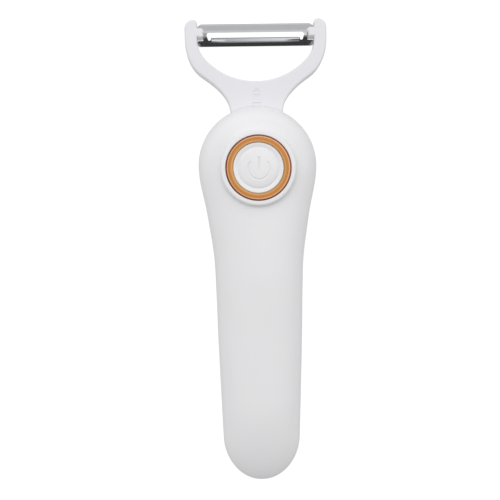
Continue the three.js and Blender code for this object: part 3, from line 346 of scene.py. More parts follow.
def merged(*solids: Solid) -> Solid:
    """Several solids in one mesh; they are freed.

    Args:
        solids: The solids.

    Returns:
        One mesh that holds them all.
    """
    whole = bmesh.new()
    for solid in solids:
        mesh = bpy.data.meshes.new("part")
        solid.to_mesh(mesh)
        solid.free()
        whole.from_mesh(mesh)
        bpy.data.meshes.remove(mesh)
    return whole


# Helpers for curves


def smooth_curve(points: Sequence[Point]) -> Callable[[float], float]:
    """A curve through some points that runs smoothly and never overshoots them.

    Args:
        points: Places and values, in rising order.

    Returns:
        A function from place to value.
    """
    last = len(points) - 1

    def rise(i: int) -> float:
        """Slope of the line between a point and the next."""
        return (points[i + 1][1] - points[i][1]) / (points[i + 1][0] - points[i][0])

    def slope(i: int) -> float:
        """Slope of the curve at a point.

        Args:
            i: Number of the point.

        Returns:
            The slope.
        """
        if i == 0:
            return rise(0)
        if i == last or rise(i - 1) * rise(i) <= 0:
            return 0.0
        return 2 * rise(i - 1) * rise(i) / (rise(i - 1) + rise(i))

    slopes = [slope(i) for i in range(last + 1)]

    def value(place: float) -> float:
        """Value of the curve at a place.

        Args:
            place: The place.

        Returns:
            The value.
        """
        i = max(k for k in range(last) if k == 0 or points[k][0] <= place)
        span = points[i + 1][0] - points[i][0]
        done = min(max((place - points[i][0]) / span, 0.0), 1.0)
        left = 1 - done
        low = left**2 * ((1 + 2 * done) * points[i][1] + done * span * slopes[i])
        high = done**2 * ((1 + 2 * left) * points[i + 1][1] - left * span * slopes[i + 1])
        return low + high

    return value


def round_off(distance: float, length: float, squareness: float) -> float:
    """Share of the full size at a distance from a rounded end; a squareness of 2 is an ellipse."""
    missing = min(max(0.0, 1 - distance / length), 1.0)
    return (1 - missing**squareness) ** (1 / squareness)


class Pen:
    """Draws an outline from lines, arcs and curves."""

    def __init__(self, x: float, y: float) -> None:
        """Start the outline at a point."""
        self.points: list[Vector] = [Vector((x, y))]

    def line(self, x: float, y: float) -> "Pen":
        """Draw a straight line to a point."""
        self.points.append(Vector((x, y)))
        return self

    def curve(self, bend_x: float, bend_y: float, x: float, y: float, steps: int = 20) -> "Pen":
        """Draw a curve to a point.

        Args:
            bend_x: Place of the point that pulls the curve.
            bend_y: Its other coordinate.
            x: Place of the end.
            y: Its other coordinate.
            steps: Steps of the curve.

        Returns:
            The pen.
        """
        start, bend, end = self.points[-1], Vector((bend_x, bend_y)), Vector((x, y))
        for step in range(1, steps + 1):
            done = step / steps
            self.points.append(start.lerp(bend, done).lerp(bend.lerp(end, done), done))
        return self

    def arc(self, x: float, y: float, radius: float, start: float, end: float, steps: int = 8) -> "Pen":
        """Draw an arc about a centre, after a line to its start.

        Args:
            x: Place of the centre.
            y: Its other coordinate.
            radius: Radius of the arc.
            start: Angle where it starts, in radians.
            end: Angle where it ends.
            steps: Steps of the arc.

        Returns:
            The pen.
        """
        for step in range(steps + 1):
            angle = start + (end - start) * step / steps
            spoke = Vector((math.cos(angle), math.sin(angle))) * radius
            self.points.append(Vector((x, y)) + spoke)
        return self


def plate(outline: Sequence[Sequence[float]], low: float, high: float) -> Solid:
    """Raise an outline into a plate.

    Args:
        outline: Points of the outline.
        low: Height of its underside.
        high: Height of its top.

    Returns:
        The plate.
    """
    bm = bmesh.new()
    face = bm.faces.new([bm.verts.new((x, y, low)) for x, y in outline])
    raised = bmesh.ops.extrude_face_region(bm, geom=[face])["geom"]
    verts = [item for item in raised if isinstance(item, bmesh.types.BMVert)]
    bmesh.ops.translate(bm, verts=verts, vec=(0, 0, high - low))
    bmesh.ops.remove_doubles(bm, verts=bm.verts[:], dist=MERGE)
    bmesh.ops.recalc_face_normals(bm, faces=bm.faces[:])
    return bm


# Finishes


def linear(hex_colour: str) -> Colour:
    """Linear colour of an sRGB hex value such as #f0f0f0.

    Args:
        hex_colour: The sRGB value.

    Returns:
        The linear colour, opaque.
    """
    parts = [int(hex_colour[i : i + 2], 16) / 255 for i in (1, 3, 5)]
    red, green, blue = (p / 12.92 if p <= 0.04045 else ((p + 0.055) / 1.055) ** 2.4 for p in parts)
    return red, green, blue, 1.0


def add_node(tree: Tree, kind: str, inputs: dict | None = None, **settings: object) -> bpy.types.Node:
    """Add a node with its settings and links.

    Args:
        tree: Node tree that gets the node.
        kind: Type of the node.
        inputs: For each input, by name or number, the value or the socket that feeds it.
        settings: Properties of the node.

    Returns:
        The node.
    """
    node = tree.nodes.new(kind)
    for name, value in settings.items():
        setattr(node, name, value)
    for key, value in (inputs or {}).items():
        if isinstance(value, Socket):
            tree.links.new(value, node.inputs[key])
        else:
            node.inputs[key].default_value = value
    return node


def grey(level: float) -> Colour:
    """Linear grey of a level."""
    return level, level, level, 1.0


def gradient(tree: Tree, share: Socket, stops: Sequence[tuple[float, Colour]]) -> Socket:
    """Colour that runs smoothly through stops.

    Args:
        tree: Node tree that gets the ramp.
        share: Socket that gives the place on the ramp, from 0 to 1.
        stops: Places and their linear colours, in order.

    Returns:
        The socket that gives the colour.
    """
    ramp = add_node(tree, "ShaderNodeValToRGB", {0: share})
    ramp.color_ramp.interpolation = "EASE"
    elements = ramp.color_ramp.elements
    while len(elements) < len(stops):
        elements.new(1.0)
    for element, (place, colour) in zip(elements, stops):
        element.position = place
        element.color = colour
    return ramp.outputs[0]


@dataclass(frozen=True)
class Finish:
    """A surface: its colour and gloss, with a grain that varies both.

    The grain is a noise of some real width in millimetres; a stretch below one along an axis draws
    it out into lines along that axis, as grinding does. The mottle is a wider cloud of two shades.
    """

    name: str
    colour: str
    shade: str
    roughness: float
    roughness_spread: float = 0.04
    metallic: float = 0.0
    ior: float = 1.5
    grain: float = 0.6
    stretch: Corner = (1.0, 1.0, 1.0)
    relief: float = 0.004
    coat: float = 0.0
    coat_roughness: float = 0.08
    mottle: float = 6.0
    smoothest: float = 0.02
    noise_span: Point = (0.3, 0.7)

    def base(self, tree: Tree, place: Socket) -> Socket:
        """Colour of the surface at a place.

        Args:
            tree: Node tree of the material.
            place: Object coordinates.

        Returns:
            The socket that gives the colour.
        """
        cloud = add_node(
            tree, "ShaderNodeTexNoise", {"Vector": place, "Scale": 1 / (self.mottle * MM), "Detail": 3.0}
        )
        mix = add_node(
            tree,
            "ShaderNodeMix",
            {0: cloud.outputs["Fac"], 6: linear(self.colour), 7: linear(self.shade)},
            data_type="RGBA",
        )
        return mix.outputs[2]

    def material(self) -> bpy.types.Material:
        """The material, made once for each finish.

        Returns:
            The material.
        """
        known = bpy.data.materials.get(self.name)
        if known:
            return known
        made = bpy.data.materials.new(self.name)
        made.use_nodes = True
        tree = made.node_tree
        tree.nodes.clear()
        place = add_node(tree, "ShaderNodeTexCoord").outputs["Object"]
        drawn = add_node(tree, "ShaderNodeMapping", {"Vector": place, "Scale": self.stretch})
        grain = add_node(
            tree,
            "ShaderNodeTexNoise",
            {"Vector": drawn.outputs[0], "Scale": 1 / (self.grain * MM), "Detail": 2.0},
        )
        rough = add_node(
            tree,
            "ShaderNodeMapRange",
            {
                "Value": grain.outputs["Fac"],
                "From Min": self.noise_span[0],
                "From Max": self.noise_span[1],
                "To Min": max(self.roughness - self.roughness_spread, self.smoothest),
                "To Max": self.roughness + self.roughness_spread,
            },
        )
        bump = add_node(
            tree,
            "ShaderNodeBump",
            {"Height": grain.outputs["Fac"], "Distance": self.relief * MM, "Strength": 1.0},
        )
        shader = add_node(
            tree,
            "ShaderNodeBsdfPrincipled",
            {
                "Base Color": self.base(tree, place),
                "Roughness": rough.outputs[0],
                "Normal": bump.outputs[0],
                "Metallic": self.metallic,
                "IOR": self.ior,
                "Coat Weight": self.coat,
                "Coat Roughness": self.coat_roughness,
            },
        )
        add_node(tree, "ShaderNodeOutputMaterial", {"Surface": shader.outputs[0]})
        return made


@dataclass(frozen=True)
class CopperedBoard(Finish):
    """Circuit board: copper tracks under green lacquer, seen as paler lines 1.2 mm apart."""

    track: float = 1.2

    def base(self, tree: Tree, place: Socket) -> Socket:
        """Colour of the board at a place.

        Args:
            tree: Node tree of the material.
            place: Object coordinates.

        Returns:
            The socket that gives the colour.
        """
        cells = add_node(
            tree,
            "ShaderNodeTexBrick",
            {
                "Vector": place,
                "Color1": linear(self.colour),
                "Color2": linear(self.shade),
                "Mortar": linear("#5f9a63"),
                "Scale": 1 / (self.track * MM),
                "Mortar Size": 0.06,
                "Brick Width": 3.0,
                "Row Height": 1.0,
            },
            offset=0.37,
        )
        return cells.outputs["Color"]


@dataclass(frozen=True)
class LacquerWithPaintedShading(Finish):
    """Lacquer on a ring, with light and shade painted into its colour by radius.

    The stops give a colour at each radius from the ring's middle, in millimetres; none of them
    means the ring's own colour. The pale stops near the inner edge and just inside the outer
    edge are a painted highlight, and the dark stops at both edges are painted shade.
    """

    centre: float = 131.0
    # Painted highlight: the pale stops at 10.65 to 11.1 mm and at 12.8 mm. Painted shade: the dark stops at
    # 10.45 mm and from 13.02 mm outwards.
    stops: tuple[tuple[float, str], ...] = (
        (10.45, "#b98255"),
        (10.65, "#cf9860"),
        (11.1, "#e2a564"),
        (11.7, ""),
        (12.35, ""),
        (12.8, "#f4bc8e"),
        (13.02, "#b8744a"),
        (13.22, "#7c3420"),
        (13.5, "#742c1a"),
    )

    def base(self, tree: Tree, place: Socket) -> Socket:
        """Colour of the ring at a place, with painted shade and painted highlight by radius.

        Args:
            tree: Node tree of the material.
            place: Object coordinates.

        Returns:
            The socket that gives the colour.
        """
        middle = (0.0, -(self.centre + LOW_END) * MM, 0.0)
        moved = add_node(tree, "ShaderNodeVectorMath", {0: place, 1: middle}, operation="ADD")
        level = {0: moved.outputs[0], 1: (1, 1, 0)}
        flat = add_node(tree, "ShaderNodeVectorMath", level, operation="MULTIPLY")
        radius = add_node(tree, "ShaderNodeVectorMath", {0: flat.outputs[0]}, operation="LENGTH")
        low, high = self.stops[0][0], self.stops[-1][0]
        share = add_node(
            tree,
            "ShaderNodeMapRange",
            {"Value": radius.outputs["Value"], "From Min": low * MM, "From Max": high * MM},
        )
        stops = [((r - low) / (high - low), linear(colour or self.colour)) for r, colour in self.stops]
        return gradient(tree, share.outputs[0], stops)


# ABS, injection moulded in a polished tool: even and pale, with a soft gloss and an orange peel
# of a few millimetres that only its highlights show.
WHITE_ABS = Finish(
    "moulded_white_abs", "#f3f3f4", "#f1f1f3", 0.3, 0.02, grain=3.0, relief=0.0006, mottle=12.0
)
# ABS as above; the yoke is a separate moulding, a touch cooler and less glossy. Its colour is
# also a little darker than the shells', as painted shade for the shade on the neck next to the head.
YOKE_ABS = Finish(
    "moulded_white_abs_yoke", "#f1f0f4", "#efeef2", 0.32, 0.02, grain=2.6, relief=0.0006, mottle=12.0
)
# ABS ring, metallised and coated with a clear orange lacquer: deep colour under a hard gloss.
# The ring's colour carries painted shade at both edges and a painted highlight just inside them.
ORANGE_RING = LacquerWithPaintedShading(
    "lacquered_orange_ring", "#cd8739", "#c68134", 0.3, 0.04, metallic=0.3, grain=1.0, relief=0.0, coat=0.2
)
# Stainless steel strip, ground along its length: fine lines across the light, no colour.
BLADE_STEEL = Finish(
    "ground_stainless_steel",
    "#c9cacd",
    "#c2c3c6",
    0.15,
    0.04,
    metallic=1.0,
    grain=0.22,
    stretch=(0.04, 1.0, 1.0),
    relief=0.001,
    mottle=9.0,
)
# Drawn spring wire, nickel plated: smooth and bright.
SPRING_STEEL = Finish("plated_spring_wire", "#c2c2c0", "#b2b2b0", 0.24, 0.06, metallic=1.0, grain=0.3)
# Steel with bright zinc plating: slightly blue and cloudy.
ZINC_STEEL = Finish(
    "zinc_plated_steel", "#b4b8bc", "#9ba0a6", 0.36, 0.1, metallic=1.0, grain=0.5, mottle=1.8
)
# Glass-filled nylon, moulded: matt, with a fine mottle where the fibres reach the skin.
GREY_NYLON = Finish(
    "moulded_grey_nylon", "#b4b7bb", "#a9acb0", 0.52, 0.08, grain=0.4, relief=0.01, mottle=1.5
)
DARK_NYLON = Finish(
    "moulded_dark_nylon", "#3b3d41", "#333539", 0.48, 0.08, grain=0.4, relief=0.01, mottle=1.5
)
# Glass-epoxy laminate with a green solder mask.
CIRCUIT_BOARD = CopperedBoard("lacquered_circuit_board", "#2c6a44", "#2f7048", 0.35, 0.05, grain=0.5)
# Silicone rubber: matt and soft, a little dusty.
GREY_RUBBER = Finish(
    "moulded_silicone_rubber", "#8f9296", "#85888c", 0.72, 0.08, ior=1.42, grain=0.5, relief=0.008
)
# PVC sleeves of stranded wire: waxy, in the usual three colours.
RED_WIRE = Finish("pvc_sleeve_red", "#b3322a", "#a52c25", 0.42, 0.06, ior=1.53, grain=0.8)
BLACK_WIRE = Finish("pvc_sleeve_black", "#2a2b2e", "#242528", 0.42, 0.06, ior=1.53, grain=0.8)
BLUE_WIRE = Finish("pvc_sleeve_blue", "#2b509f", "#264894", 0.42, 0.06, ior=1.53, grain=0.8)
# Shrink film over a steel can: glossy, drawn tight, with faint marks round the cell.
CELL_WRAP = Finish(
    "shrink_film", "#59646f", "#515c66", 0.28, 0.06, metallic=0.2, grain=0.9, relief=0.01, mottle=8.0
)
# Sintered tungsten alloy: dense, dark grey and faintly grainy.
WEIGHT_STEEL = Finish(
    "sintered_tungsten", "#7b7c7e", "#6a6b6d", 0.45, 0.08, metallic=1.0, grain=0.25, relief=0.006, mottle=0.8
)

NODE_FINISHES: dict[str, Finish] = {
    "head_socket": GREY_NYLON,
    "shell_screw": ZINC_STEEL,
    "battery_tray": DARK_NYLON,
    "bridge_plate": SPRING_STEEL,
    "plus_terminal": SPRING_STEEL,
    "minus_terminal": SPRING_STEEL,
    "battery_cell": CELL_WRAP,
    "contact_spring": SPRING_STEEL,
    "tray_screw": ZINC_STEEL,
    "motor_can": ZINC_STEEL,
    "motor_end_bell": GREY_NYLON,
    "motor_terminal": SPRING_STEEL,
    "motor_shaft": ZINC_STEEL,
    "eccentric_weight": WEIGHT_STEEL,
    "lead_plus": RED_WIRE,
    "lead_switch": BLUE_WIRE,
    "lead_minus": BLACK_WIRE,
    "switch_body": DARK_NYLON,
    "switch_plunger": DARK_NYLON,
    "switch_board": CIRCUIT_BOARD,
    "board_screw": ZINC_STEEL,
    "neck_seal": GREY_RUBBER,
    "front_shell": WHITE_ABS,
    "rear_shell": WHITE_ABS,
    "battery_cover": WHITE_ABS,
    "button_cap": WHITE_ABS,
    "trim_ring": ORANGE_RING,
    "yoke": YOKE_ABS,
    "blade": BLADE_STEEL,
}


def finish_of(node: str) -> Finish:
    """Finish of a CAD node, by its name or by the name that its copies share."""
    return next(finish for name, finish in NODE_FINISHES.items() if node.startswith(name))


def dress_nodes(nodes: dict[str, Piece]) -> None:
    """Give each carried-over CAD node the material of its real one.

    Args:
        nodes: CAD nodes by name.
    """
    for name, node in nodes.items():
        material = finish_of(name).material()
        if node.material_slots:
            for place in node.material_slots:
                place.link = "OBJECT"
                place.material = material
        else:
            node.data.materials.append(material)


def dress(piece: Piece, finish: Finish, body: str, nodes: Sequence[str] = ()) -> None:
    """Finish a new piece and set it on its body.

    Args:
        piece: The piece.
        finish: Its finish.
        body: Body that it rides on.
        nodes: CAD nodes that it stands for.
    """
    piece.data.materials.clear()
    piece.data.materials.append(finish.material())
    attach(piece, body)
    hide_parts(*nodes)
    log.info("%s: %d faces", piece.name, len(piece.data.polygons))


# The housing


@dataclass
class HousingForm:
    """The rounded form that the front shell, the rear shell and the battery cover share."""

    length: float = 158.0
    head_place: float = 133.0
    head_radius: float = 25.0
    end_round: float = 18.0
    parting: float = 13.0
    rear_depth: float = 13.5
    front_end: float = 34.0
    rear_end: float = 16.0
    top_round: float = 17.0
    front_squareness: float = 2.5
    rear_squareness: float = 3.0
    columns: int = 112
    rings: int = 120
    low_share: float = 0.2
    head_share: float = 0.3
    pole: float = 1e-5
    least_width: float = 1e-6
    outline: tuple[Point, ...] = ((0, 15.4), (58.6, 17.7), (91, 18.7), (112, 21.5), (133, 25))
    profile: tuple[Point, ...] = ((0, 11.4), (58.6, 12.8), (91, 14.3), (133, 14.6))

    def __post_init__(self) -> None:
        """Make the curves of the outline and of the front's depth."""
        self.outline_curve = smooth_curve(self.outline)
        self.profile_curve = smooth_curve(self.profile)

    def half_width(self, place: float) -> float:
        """Half the width at a place along the handle.

        Args:
            place: Place along the handle.

        Returns:
            Half the width.
        """
        if place > self.head_place:
            return math.sqrt(max(self.head_radius**2 - (place - self.head_place) ** 2, 0.0))
        return self.outline_curve(place) * round_off(place, self.end_round, 2)

    def depth(self, place: float, front: bool) -> float:
        """Depth in front of the parting plane or behind it, at a place along the handle.

        Args:
            place: Place along the handle.
            front: Whether the front's depth is asked for.

        Returns:
            The depth.
        """
        top = round_off(self.length - place, self.top_round, self.front_squareness)
        if front:
            return self.profile_curve(place) * round_off(place, self.front_end, 2) * top
        return self.rear_depth * round_off(place, self.rear_end, 2) * top

    def station(self, share: float) -> float:
        """Place along the handle for a share of the form's rings, close together at the ends.

        Args:
            share: Share of the rings, from 0 to 1.

        Returns:
            The place.
        """
        if share < self.low_share:
            return self.end_round * (1 - math.cos(share / self.low_share * math.pi / 2))
        if share > 1 - self.head_share:
            turn = (share - 1 + self.head_share) / self.head_share * math.pi / 2
            return self.head_place + self.head_radius * math.sin(turn)
        along = (share - self.low_share) / (1 - self.low_share - self.head_share)
        return self.end_round + (self.head_place - self.end_round) * along

    def solid(self, inset: float = 0.0) -> Solid:
        """The form, drawn in along its normals.

        Args:
            inset: How far its surface is drawn in.

        Returns:
            One closed body, from a sphere whose poles are the ends of the housing.
        """
        bm = bmesh.new()
        turn = Matrix.Rotation(-math.pi / 2, 4, "X")
        bmesh.ops.create_uvsphere(
            bm, u_segments=self.columns, v_segments=self.rings, radius=1, matrix=turn
        )
        for vert in bm.verts:
            tilt = math.asin(min(max(vert.co.y, -1.0), 1.0))
            place = self.station(tilt / math.pi + 0.5)
            across = math.hypot(vert.co.x, vert.co.z)
            if across < self.pole:
                vert.co = (0, place, self.parting)
                continue
            front = vert.co.z > 0
            power = 2 / (self.front_squareness if front else self.rear_squareness)
            side = math.copysign(abs(vert.co.x / across) ** power, vert.co.x)
            up = math.copysign(abs(vert.co.z / across) ** power, vert.co.z)
            height = self.depth(place, front) * up
            vert.co = (self.half_width(place) * side, place, self.parting + height)
        bmesh.ops.recalc_face_normals(bm, faces=bm.faces[:])
        if inset:
            bm.normal_update()
            moved = [vert.co - vert.normal * inset for vert in bm.verts]
            for vert, place in zip(bm.verts, moved):
                vert.co = place
        return bm

    def surface_height(self, x: float, place: float) -> float:
        """Height of the front surface at a point of the part.

        Args:
            x: Place across the part.
            place: Place along the handle.

        Returns:
            The height.
        """
        share = min(abs(x) / max(self.half_width(place), self.least_width), 1.0)
        up = (1 - share**self.front_squareness) ** (1 / self.front_squareness)
        return self.parting + self.depth(place, True) * up


def ease_edge(bm: Solid, edge: float, inward: int, radius: float, steps: int = 4) -> None:
    """Round the edge of a skin where a level seam cuts it.

    Args:
        bm: Half of a form, open at the seam.
        edge: Height of the seam.
        inward: 1 or -1, for the side that the skin lies on.
        radius: Radius of the rounding.
        steps: Steps of the rounding.
    """
    score(bm, 2, [edge + inward * radius * (step / steps) ** 2 for step in range(1, steps + 1)])
    bm.normal_update()
    moved = []
    for vert in bm.verts:
        depth = (vert.co.z - edge) * inward
        if depth < radius:
            normal = vert.normal.copy()
            normal.z = 0
            fall = radius - math.sqrt(max(radius**2 - (radius - depth) ** 2, 0.0))
            moved.append((vert, vert.co - normal.normalized() * fall))
    for vert, place in moved:
        vert.co = place


@dataclass
class Housing:
    """The moulded housing: front shell with its bezel, rear shell and battery cover."""

    form: HousingForm
    wall: float = 1.8
    seam: float = 0.3
    edge_round: float = 0.35
    fit: float = 0.3
    cover_seam: float = 91.0
    lip_depth: float = 1.2
    lip_inset: float = 1.05
    rebate_inset: float = 0.8
    reach: float = 40.0
    button_place: float = 131.0
    bezel_radius: float = 15.6
    bezel_top: float = 30.2
    bezel_root: float = 24.6
    bezel_round: float = 0.9
    bezel_flare: float = 1.0
    bezel_foot: tuple[Point, ...] = ((1.0, -0.06), (0.45, 0.05), (0.15, 0.3), (0.0, 0.7))
    seat_radius: float = 13.57
    seat_round: float = 0.2
    seat_wall: float = 0.6
    ledge_top: float = 28.3
    ledge: float = 26.3
    ledge_bore: float = 10.45
    ledge_round: float = 0.1
    turn_steps: int = 96
    flange_bore: float = 11.9
    mouth_half: float = 11.4
    mouth_height: float = 3.8
    mouth_round: float = 0.8
    mouth_start: float = 151.0
    collar_start: float = 151.3
    collar_wall: float = 2.0
    post_radius: float = 3.2
    head_bore: float = 2.7
    head_seat: float = 7.0
    shank_bore: float = 1.6
    posts: tuple[Point, ...] = ((-14.32, 100.0), (14.32, 100.0), (-16.33, 144.02), (16.33, 144.02))
    small_post_radius: float = 2.3
    small_posts: tuple[tuple[float, float, float, float], ...] = (
        (-14.5, 131.0, 21.3, 25.3),
        (14.5, 131.0, 21.3, 25.3),
        (-9.5, 20.0, 17.1, 19.8),
        (9.5, 20.0, 17.1, 19.8),
    )
    pilot_radius: float = 1.45
    pilot_top: float = 19.5
    small_pilot_radius: float = 1.05
    skin: float = 0.4
    rib: float = 1.2
    rib_round: float = 0.15
    front_ribs: tuple[Corner, ...] = (
        (6.0, 100.0, 18.8), (6.0, 113.8, 18.8), (9.0, 36.6, 21.4), (9.0, 58.6, 21.4), (9.0, 80.6, 21.4),
    )
    motor_ribs: Point = (100.0, 113.8)
    motor_rib_half: float = 13.0
    motor_room: float = 10.3
    motor_height: float = 11.0
    motor_low: float = 3.2
    socket_ribs: Point = (141.5, 146.8)
    socket_rib_half: float = 11.2
    socket_rib_drop: float = 3.0
    socket_room: float = 10.35
    socket_low: float = 7.5
    stop: float = 137.0
    stop_half: float = 7.0
    stop_drop: float = 0.5
    overlap: float = 0.2
    cover_rib: tuple[Point, Point, Point] = ((2.5, 3.5), (14.0, 26.0), (0.9, 4.4))
    cover_rib_tip: tuple[Point, Point, Point] = ((1.1, 3.45), (14.05, 25.95), (4.2, 5.1))
    cover_rail: tuple[Point, Point, Point] = ((6.65, 8.05), (34.0, 83.2), (0.9, 4.9))
    catch_root: tuple[Point, Point, Point] = ((3.5, 8.5), (-4.0, -0.02), (0.9, 3.3))
    catch_tip: tuple[Point, Point, Point] = ((3.6, 8.4), (-3.0, 5.0), (2.1, 3.4))
    groove_count: int = 5
    groove_start: float = 82.0
    groove_pitch: float = 3.4
    groove_radius: float = 1.1
    groove_depth: float = 0.6
    groove_half: float = 6.0

    def hollow(self) -> Solid:
        """The room inside the walls, flat over the floor.

        Returns:
            A solid of the room.
        """
        room = self.form.solid(self.wall)
        trim(room, (0, 0, self.wall), (0, 0, -1))
        return room

    def mouth(self) -> Solid:
        """The opening that the neck passes through.

        Returns:
            A cutter for the opening.
        """
        low = (-self.mouth_half, self.mouth_start, self.form.parting - self.mouth_height)
        high = (self.mouth_half, self.form.length + self.reach, self.form.parting + self.mouth_height)
        return box(low, high, self.mouth_round)

    def collar(self, front: bool) -> Solid:
        """Thick wall round the mouth, on one side of the parting plane.

        Args:
            front: Whether it is the front's half of the wall.

        Returns:
            The wall, without the mouth cut.
        """
        bm = self.form.solid(self.skin)
        half = self.mouth_half + self.collar_wall
        height = self.mouth_height + self.collar_wall
        sign = 1 if front else -1
        seam = self.form.parting + sign * self.seam / 2
        trim(bm, (0, self.collar_start, 0), (0, -1, 0))
        trim(bm, (half, 0, 0), (1, 0, 0))
        trim(bm, (-half, 0, 0), (-1, 0, 0))
        trim(bm, (0, 0, seam), (0, 0, -sign))
        trim(bm, (0, 0, self.form.parting + sign * height), (0, 0, sign))
        return bm

    def bezel(self) -> Solid:
        """Raised rim round the button, with the ring's seat and a flare that meets the shell.

        Returns:
            The rim; each ring of the flare's foot stands a set rise above the shell's surface.
        """
        foot = self.bezel_root + self.bezel_flare
        rings = [(self.bezel_radius + out * self.bezel_flare, rise) for out, rise in self.bezel_foot]
        profile = [
            (self.flange_bore, self.bezel_root, 0),
            (self.bezel_radius + self.bezel_flare, self.bezel_root, 0),
            *((radius, foot, 0) for radius, _ in rings),
            (self.bezel_radius, self.bezel_top, self.bezel_round),
            (self.seat_radius, self.bezel_top, self.seat_round),
            (self.seat_radius, self.ledge_top, 0),
            (self.ledge_bore, self.ledge_top, self.ledge_round),
            (self.ledge_bore, self.ledge, 0),
            (self.flange_bore, self.ledge, 0),
        ]
        bm = lathe(round_corners(profile, 5), (0, self.button_place, 0), self.turn_steps)
        for vert in bm.verts:
            if abs(vert.co.z - foot) < 10 * MERGE:
                out = math.hypot(vert.co.x, vert.co.y - self.button_place)
                rise = min(rings, key=lambda ring: abs(out - ring[0]))[1]
                vert.co.z = self.form.surface_height(vert.co.x, vert.co.y) + rise
        return bm

    def cross_rib(self, half: float, place: float, low: float, high: float) -> Solid:
        """Upright rib across the housing at a place."""
        return box((-half, place, low), (half, place + self.rib, high))

    def within(self, *solids: Solid) -> Solid:
        """Solids that stand apart from each other, cut off inside the outer skin.

        Args:
            solids: The solids.

        Returns:
            What is left of them, in one mesh.
        """
        inside = make_object(merged(*solids), "inside")
        combine(inside, self.form.solid(self.skin), Combine.KEEP)
        return taken(inside)

    def front_inside(self) -> Solid:
        """Screw posts, and ribs that press on the motor, the socket and the battery tray.

        Returns:
            The posts and ribs, in one mesh.
        """
        low = self.form.parting + self.seam / 2
        solids = [pillar(self.post_radius, x, y, low, self.reach) for x, y in self.posts]
        for x, y, post_low, _ in self.small_posts:
            solids.append(pillar(self.small_post_radius, x, y, post_low, self.reach))
        for half, place, rib_low in self.front_ribs:
            solids.append(self.cross_rib(half, place, rib_low, self.reach))
        return self.within(*solids)

    def pilot_bores(self) -> Solid:
        """Bores that the screws cut their threads in.

        Returns:
            Cutters for the bores, in one mesh.
        """
        low = self.form.parting
        bores = [pillar(self.pilot_radius, x, y, low, self.pilot_top, 24) for x, y in self.posts]
        for x, y, post_low, top in self.small_posts:
            bores.append(pillar(self.small_pilot_radius, x, y, post_low - 1, top, 24))
        return merged(*bores)

    def rear_inside(self) -> Solid:
        """Screw posts, and the ribs that cradle the motor and the head's socket.

        Returns:
            The posts and ribs, in one mesh.
        """
        top = self.form.parting - self.seam / 2
        posts = [pillar(self.post_radius, x, y, -1, top) for x, y in self.posts]
        low = self.wall / 2
        motor = [self.cross_rib(self.motor_rib_half, y, low, top - self.fit) for y in self.motor_ribs]
        cradle = make_object(merged(*motor), "cradle")
        centre = Matrix.Translation((0, sum(self.motor_ribs) / 2, self.motor_height))
        along = centre @ Matrix.Rotation(math.pi / 2, 4, "X")
        can = rod(self.motor_room, 2 * self.motor_room, along, 64)
        trim(can, (0, 0, self.motor_low), (0, 0, -1))
        combine(cradle, can, Combine.CUT)
        cheek_low, cheek_high = self.socket_low - self.overlap, self.form.parting - self.socket_rib_drop
        for y in self.socket_ribs:
            cheeks = []
            for side in (-1, 1):
                inner, outer = sorted((side * self.socket_room, side * self.socket_rib_half))
                cheeks.append(box((inner, y, cheek_low), (outer, y + self.rib, cheek_high)))
            rib = self.cross_rib(self.socket_rib_half, y, low, self.socket_low)
            combine(cradle, rib, Combine.JOIN)
            combine(cradle, merged(*cheeks), Combine.JOIN)
        stop = self.cross_rib(self.stop_half, self.stop, low, self.form.parting - self.stop_drop)
        combine(cradle, stop, Combine.JOIN)
        return self.within(*posts, taken(cradle))

    def cover_inside(self) -> list[Solid]:
        """Rails, catches and ribs inside the battery cover.

        Returns:
            Two sets of them: what stands on the cover, and the tips that overlap it. The catches
            are measured from the cover's end.
        """
        end = self.cover_seam - self.seam / 2
        sets = []
        for features in (
            ((self.cover_rib, 0), (self.catch_root, end), (self.cover_rail, 0)),
            ((self.cover_rib_tip, 0), (self.catch_tip, end)),
        ):
            blocks = []
            for side in (-1, 1):
                for (x_range, y_range, z_range), start in features:
                    y_range = [start + y for y in y_range]
                    low, high = zip(sorted(side * x for x in x_range), y_range, z_range)
                    blocks.append(box(low, high, self.rib_round))
            sets.append(merged(*blocks))
        return sets

    def half(self, side: int) -> Solid:
        """The form on one side of the seam, with the edge there rounded.

        Args:
            side: 1 for the front and -1 for the rear.

        Returns:
            The half, closed.
        """
        seam = self.form.parting + side * self.seam / 2
        bm = self.form.solid()
        trim(bm, (0, 0, seam), (0, 0, -side), fill=False)
        ease_edge(bm, seam, side, self.edge_round)
        bmesh.ops.holes_fill(bm, edges=bm.edges[:])
        return bm

    def button_bore(self, radius: float) -> Solid:
        """Cutter for a bore through the front, below the button."""
        return pillar(radius, 0, self.button_place, 0, self.reach, self.turn_steps)

    def front_shell(self) -> Piece:
        """Front half of the housing.

        Returns:
            The shell.
        """
        shell = make_object(self.half(1), "housing_front")
        combine(shell, self.button_bore(self.seat_radius + self.seat_wall), Combine.CUT)
        combine(shell, self.hollow(), Combine.CUT)
        lip = self.form.solid(self.lip_inset)
        trim(lip, (0, 0, self.form.parting - self.lip_depth), (0, 0, -1))
        trim(lip, (0, 0, self.form.parting + self.wall), (0, 0, 1))
        band = make_object(lip, "band")
        combine(band, self.hollow(), Combine.CUT)
        room = self.mouth_half + self.collar_wall + self.fit
        high = (room, self.form.length + self.reach, self.form.parting)
        combine(band, box((-room, self.mouth_start, 0), high), Combine.CUT)
        combine(shell, taken(band), Combine.JOIN)
        combine(shell, self.collar(True), Combine.JOIN)
        combine(shell, self.front_inside(), Combine.JOIN)
        combine(shell, self.pilot_bores(), Combine.CUT)
        combine(shell, self.button_bore(self.flange_bore), Combine.CUT)
        combine(shell, self.bezel(), Combine.JOIN)
        combine(shell, self.mouth(), Combine.CUT)
        shade(shell)
        return shell

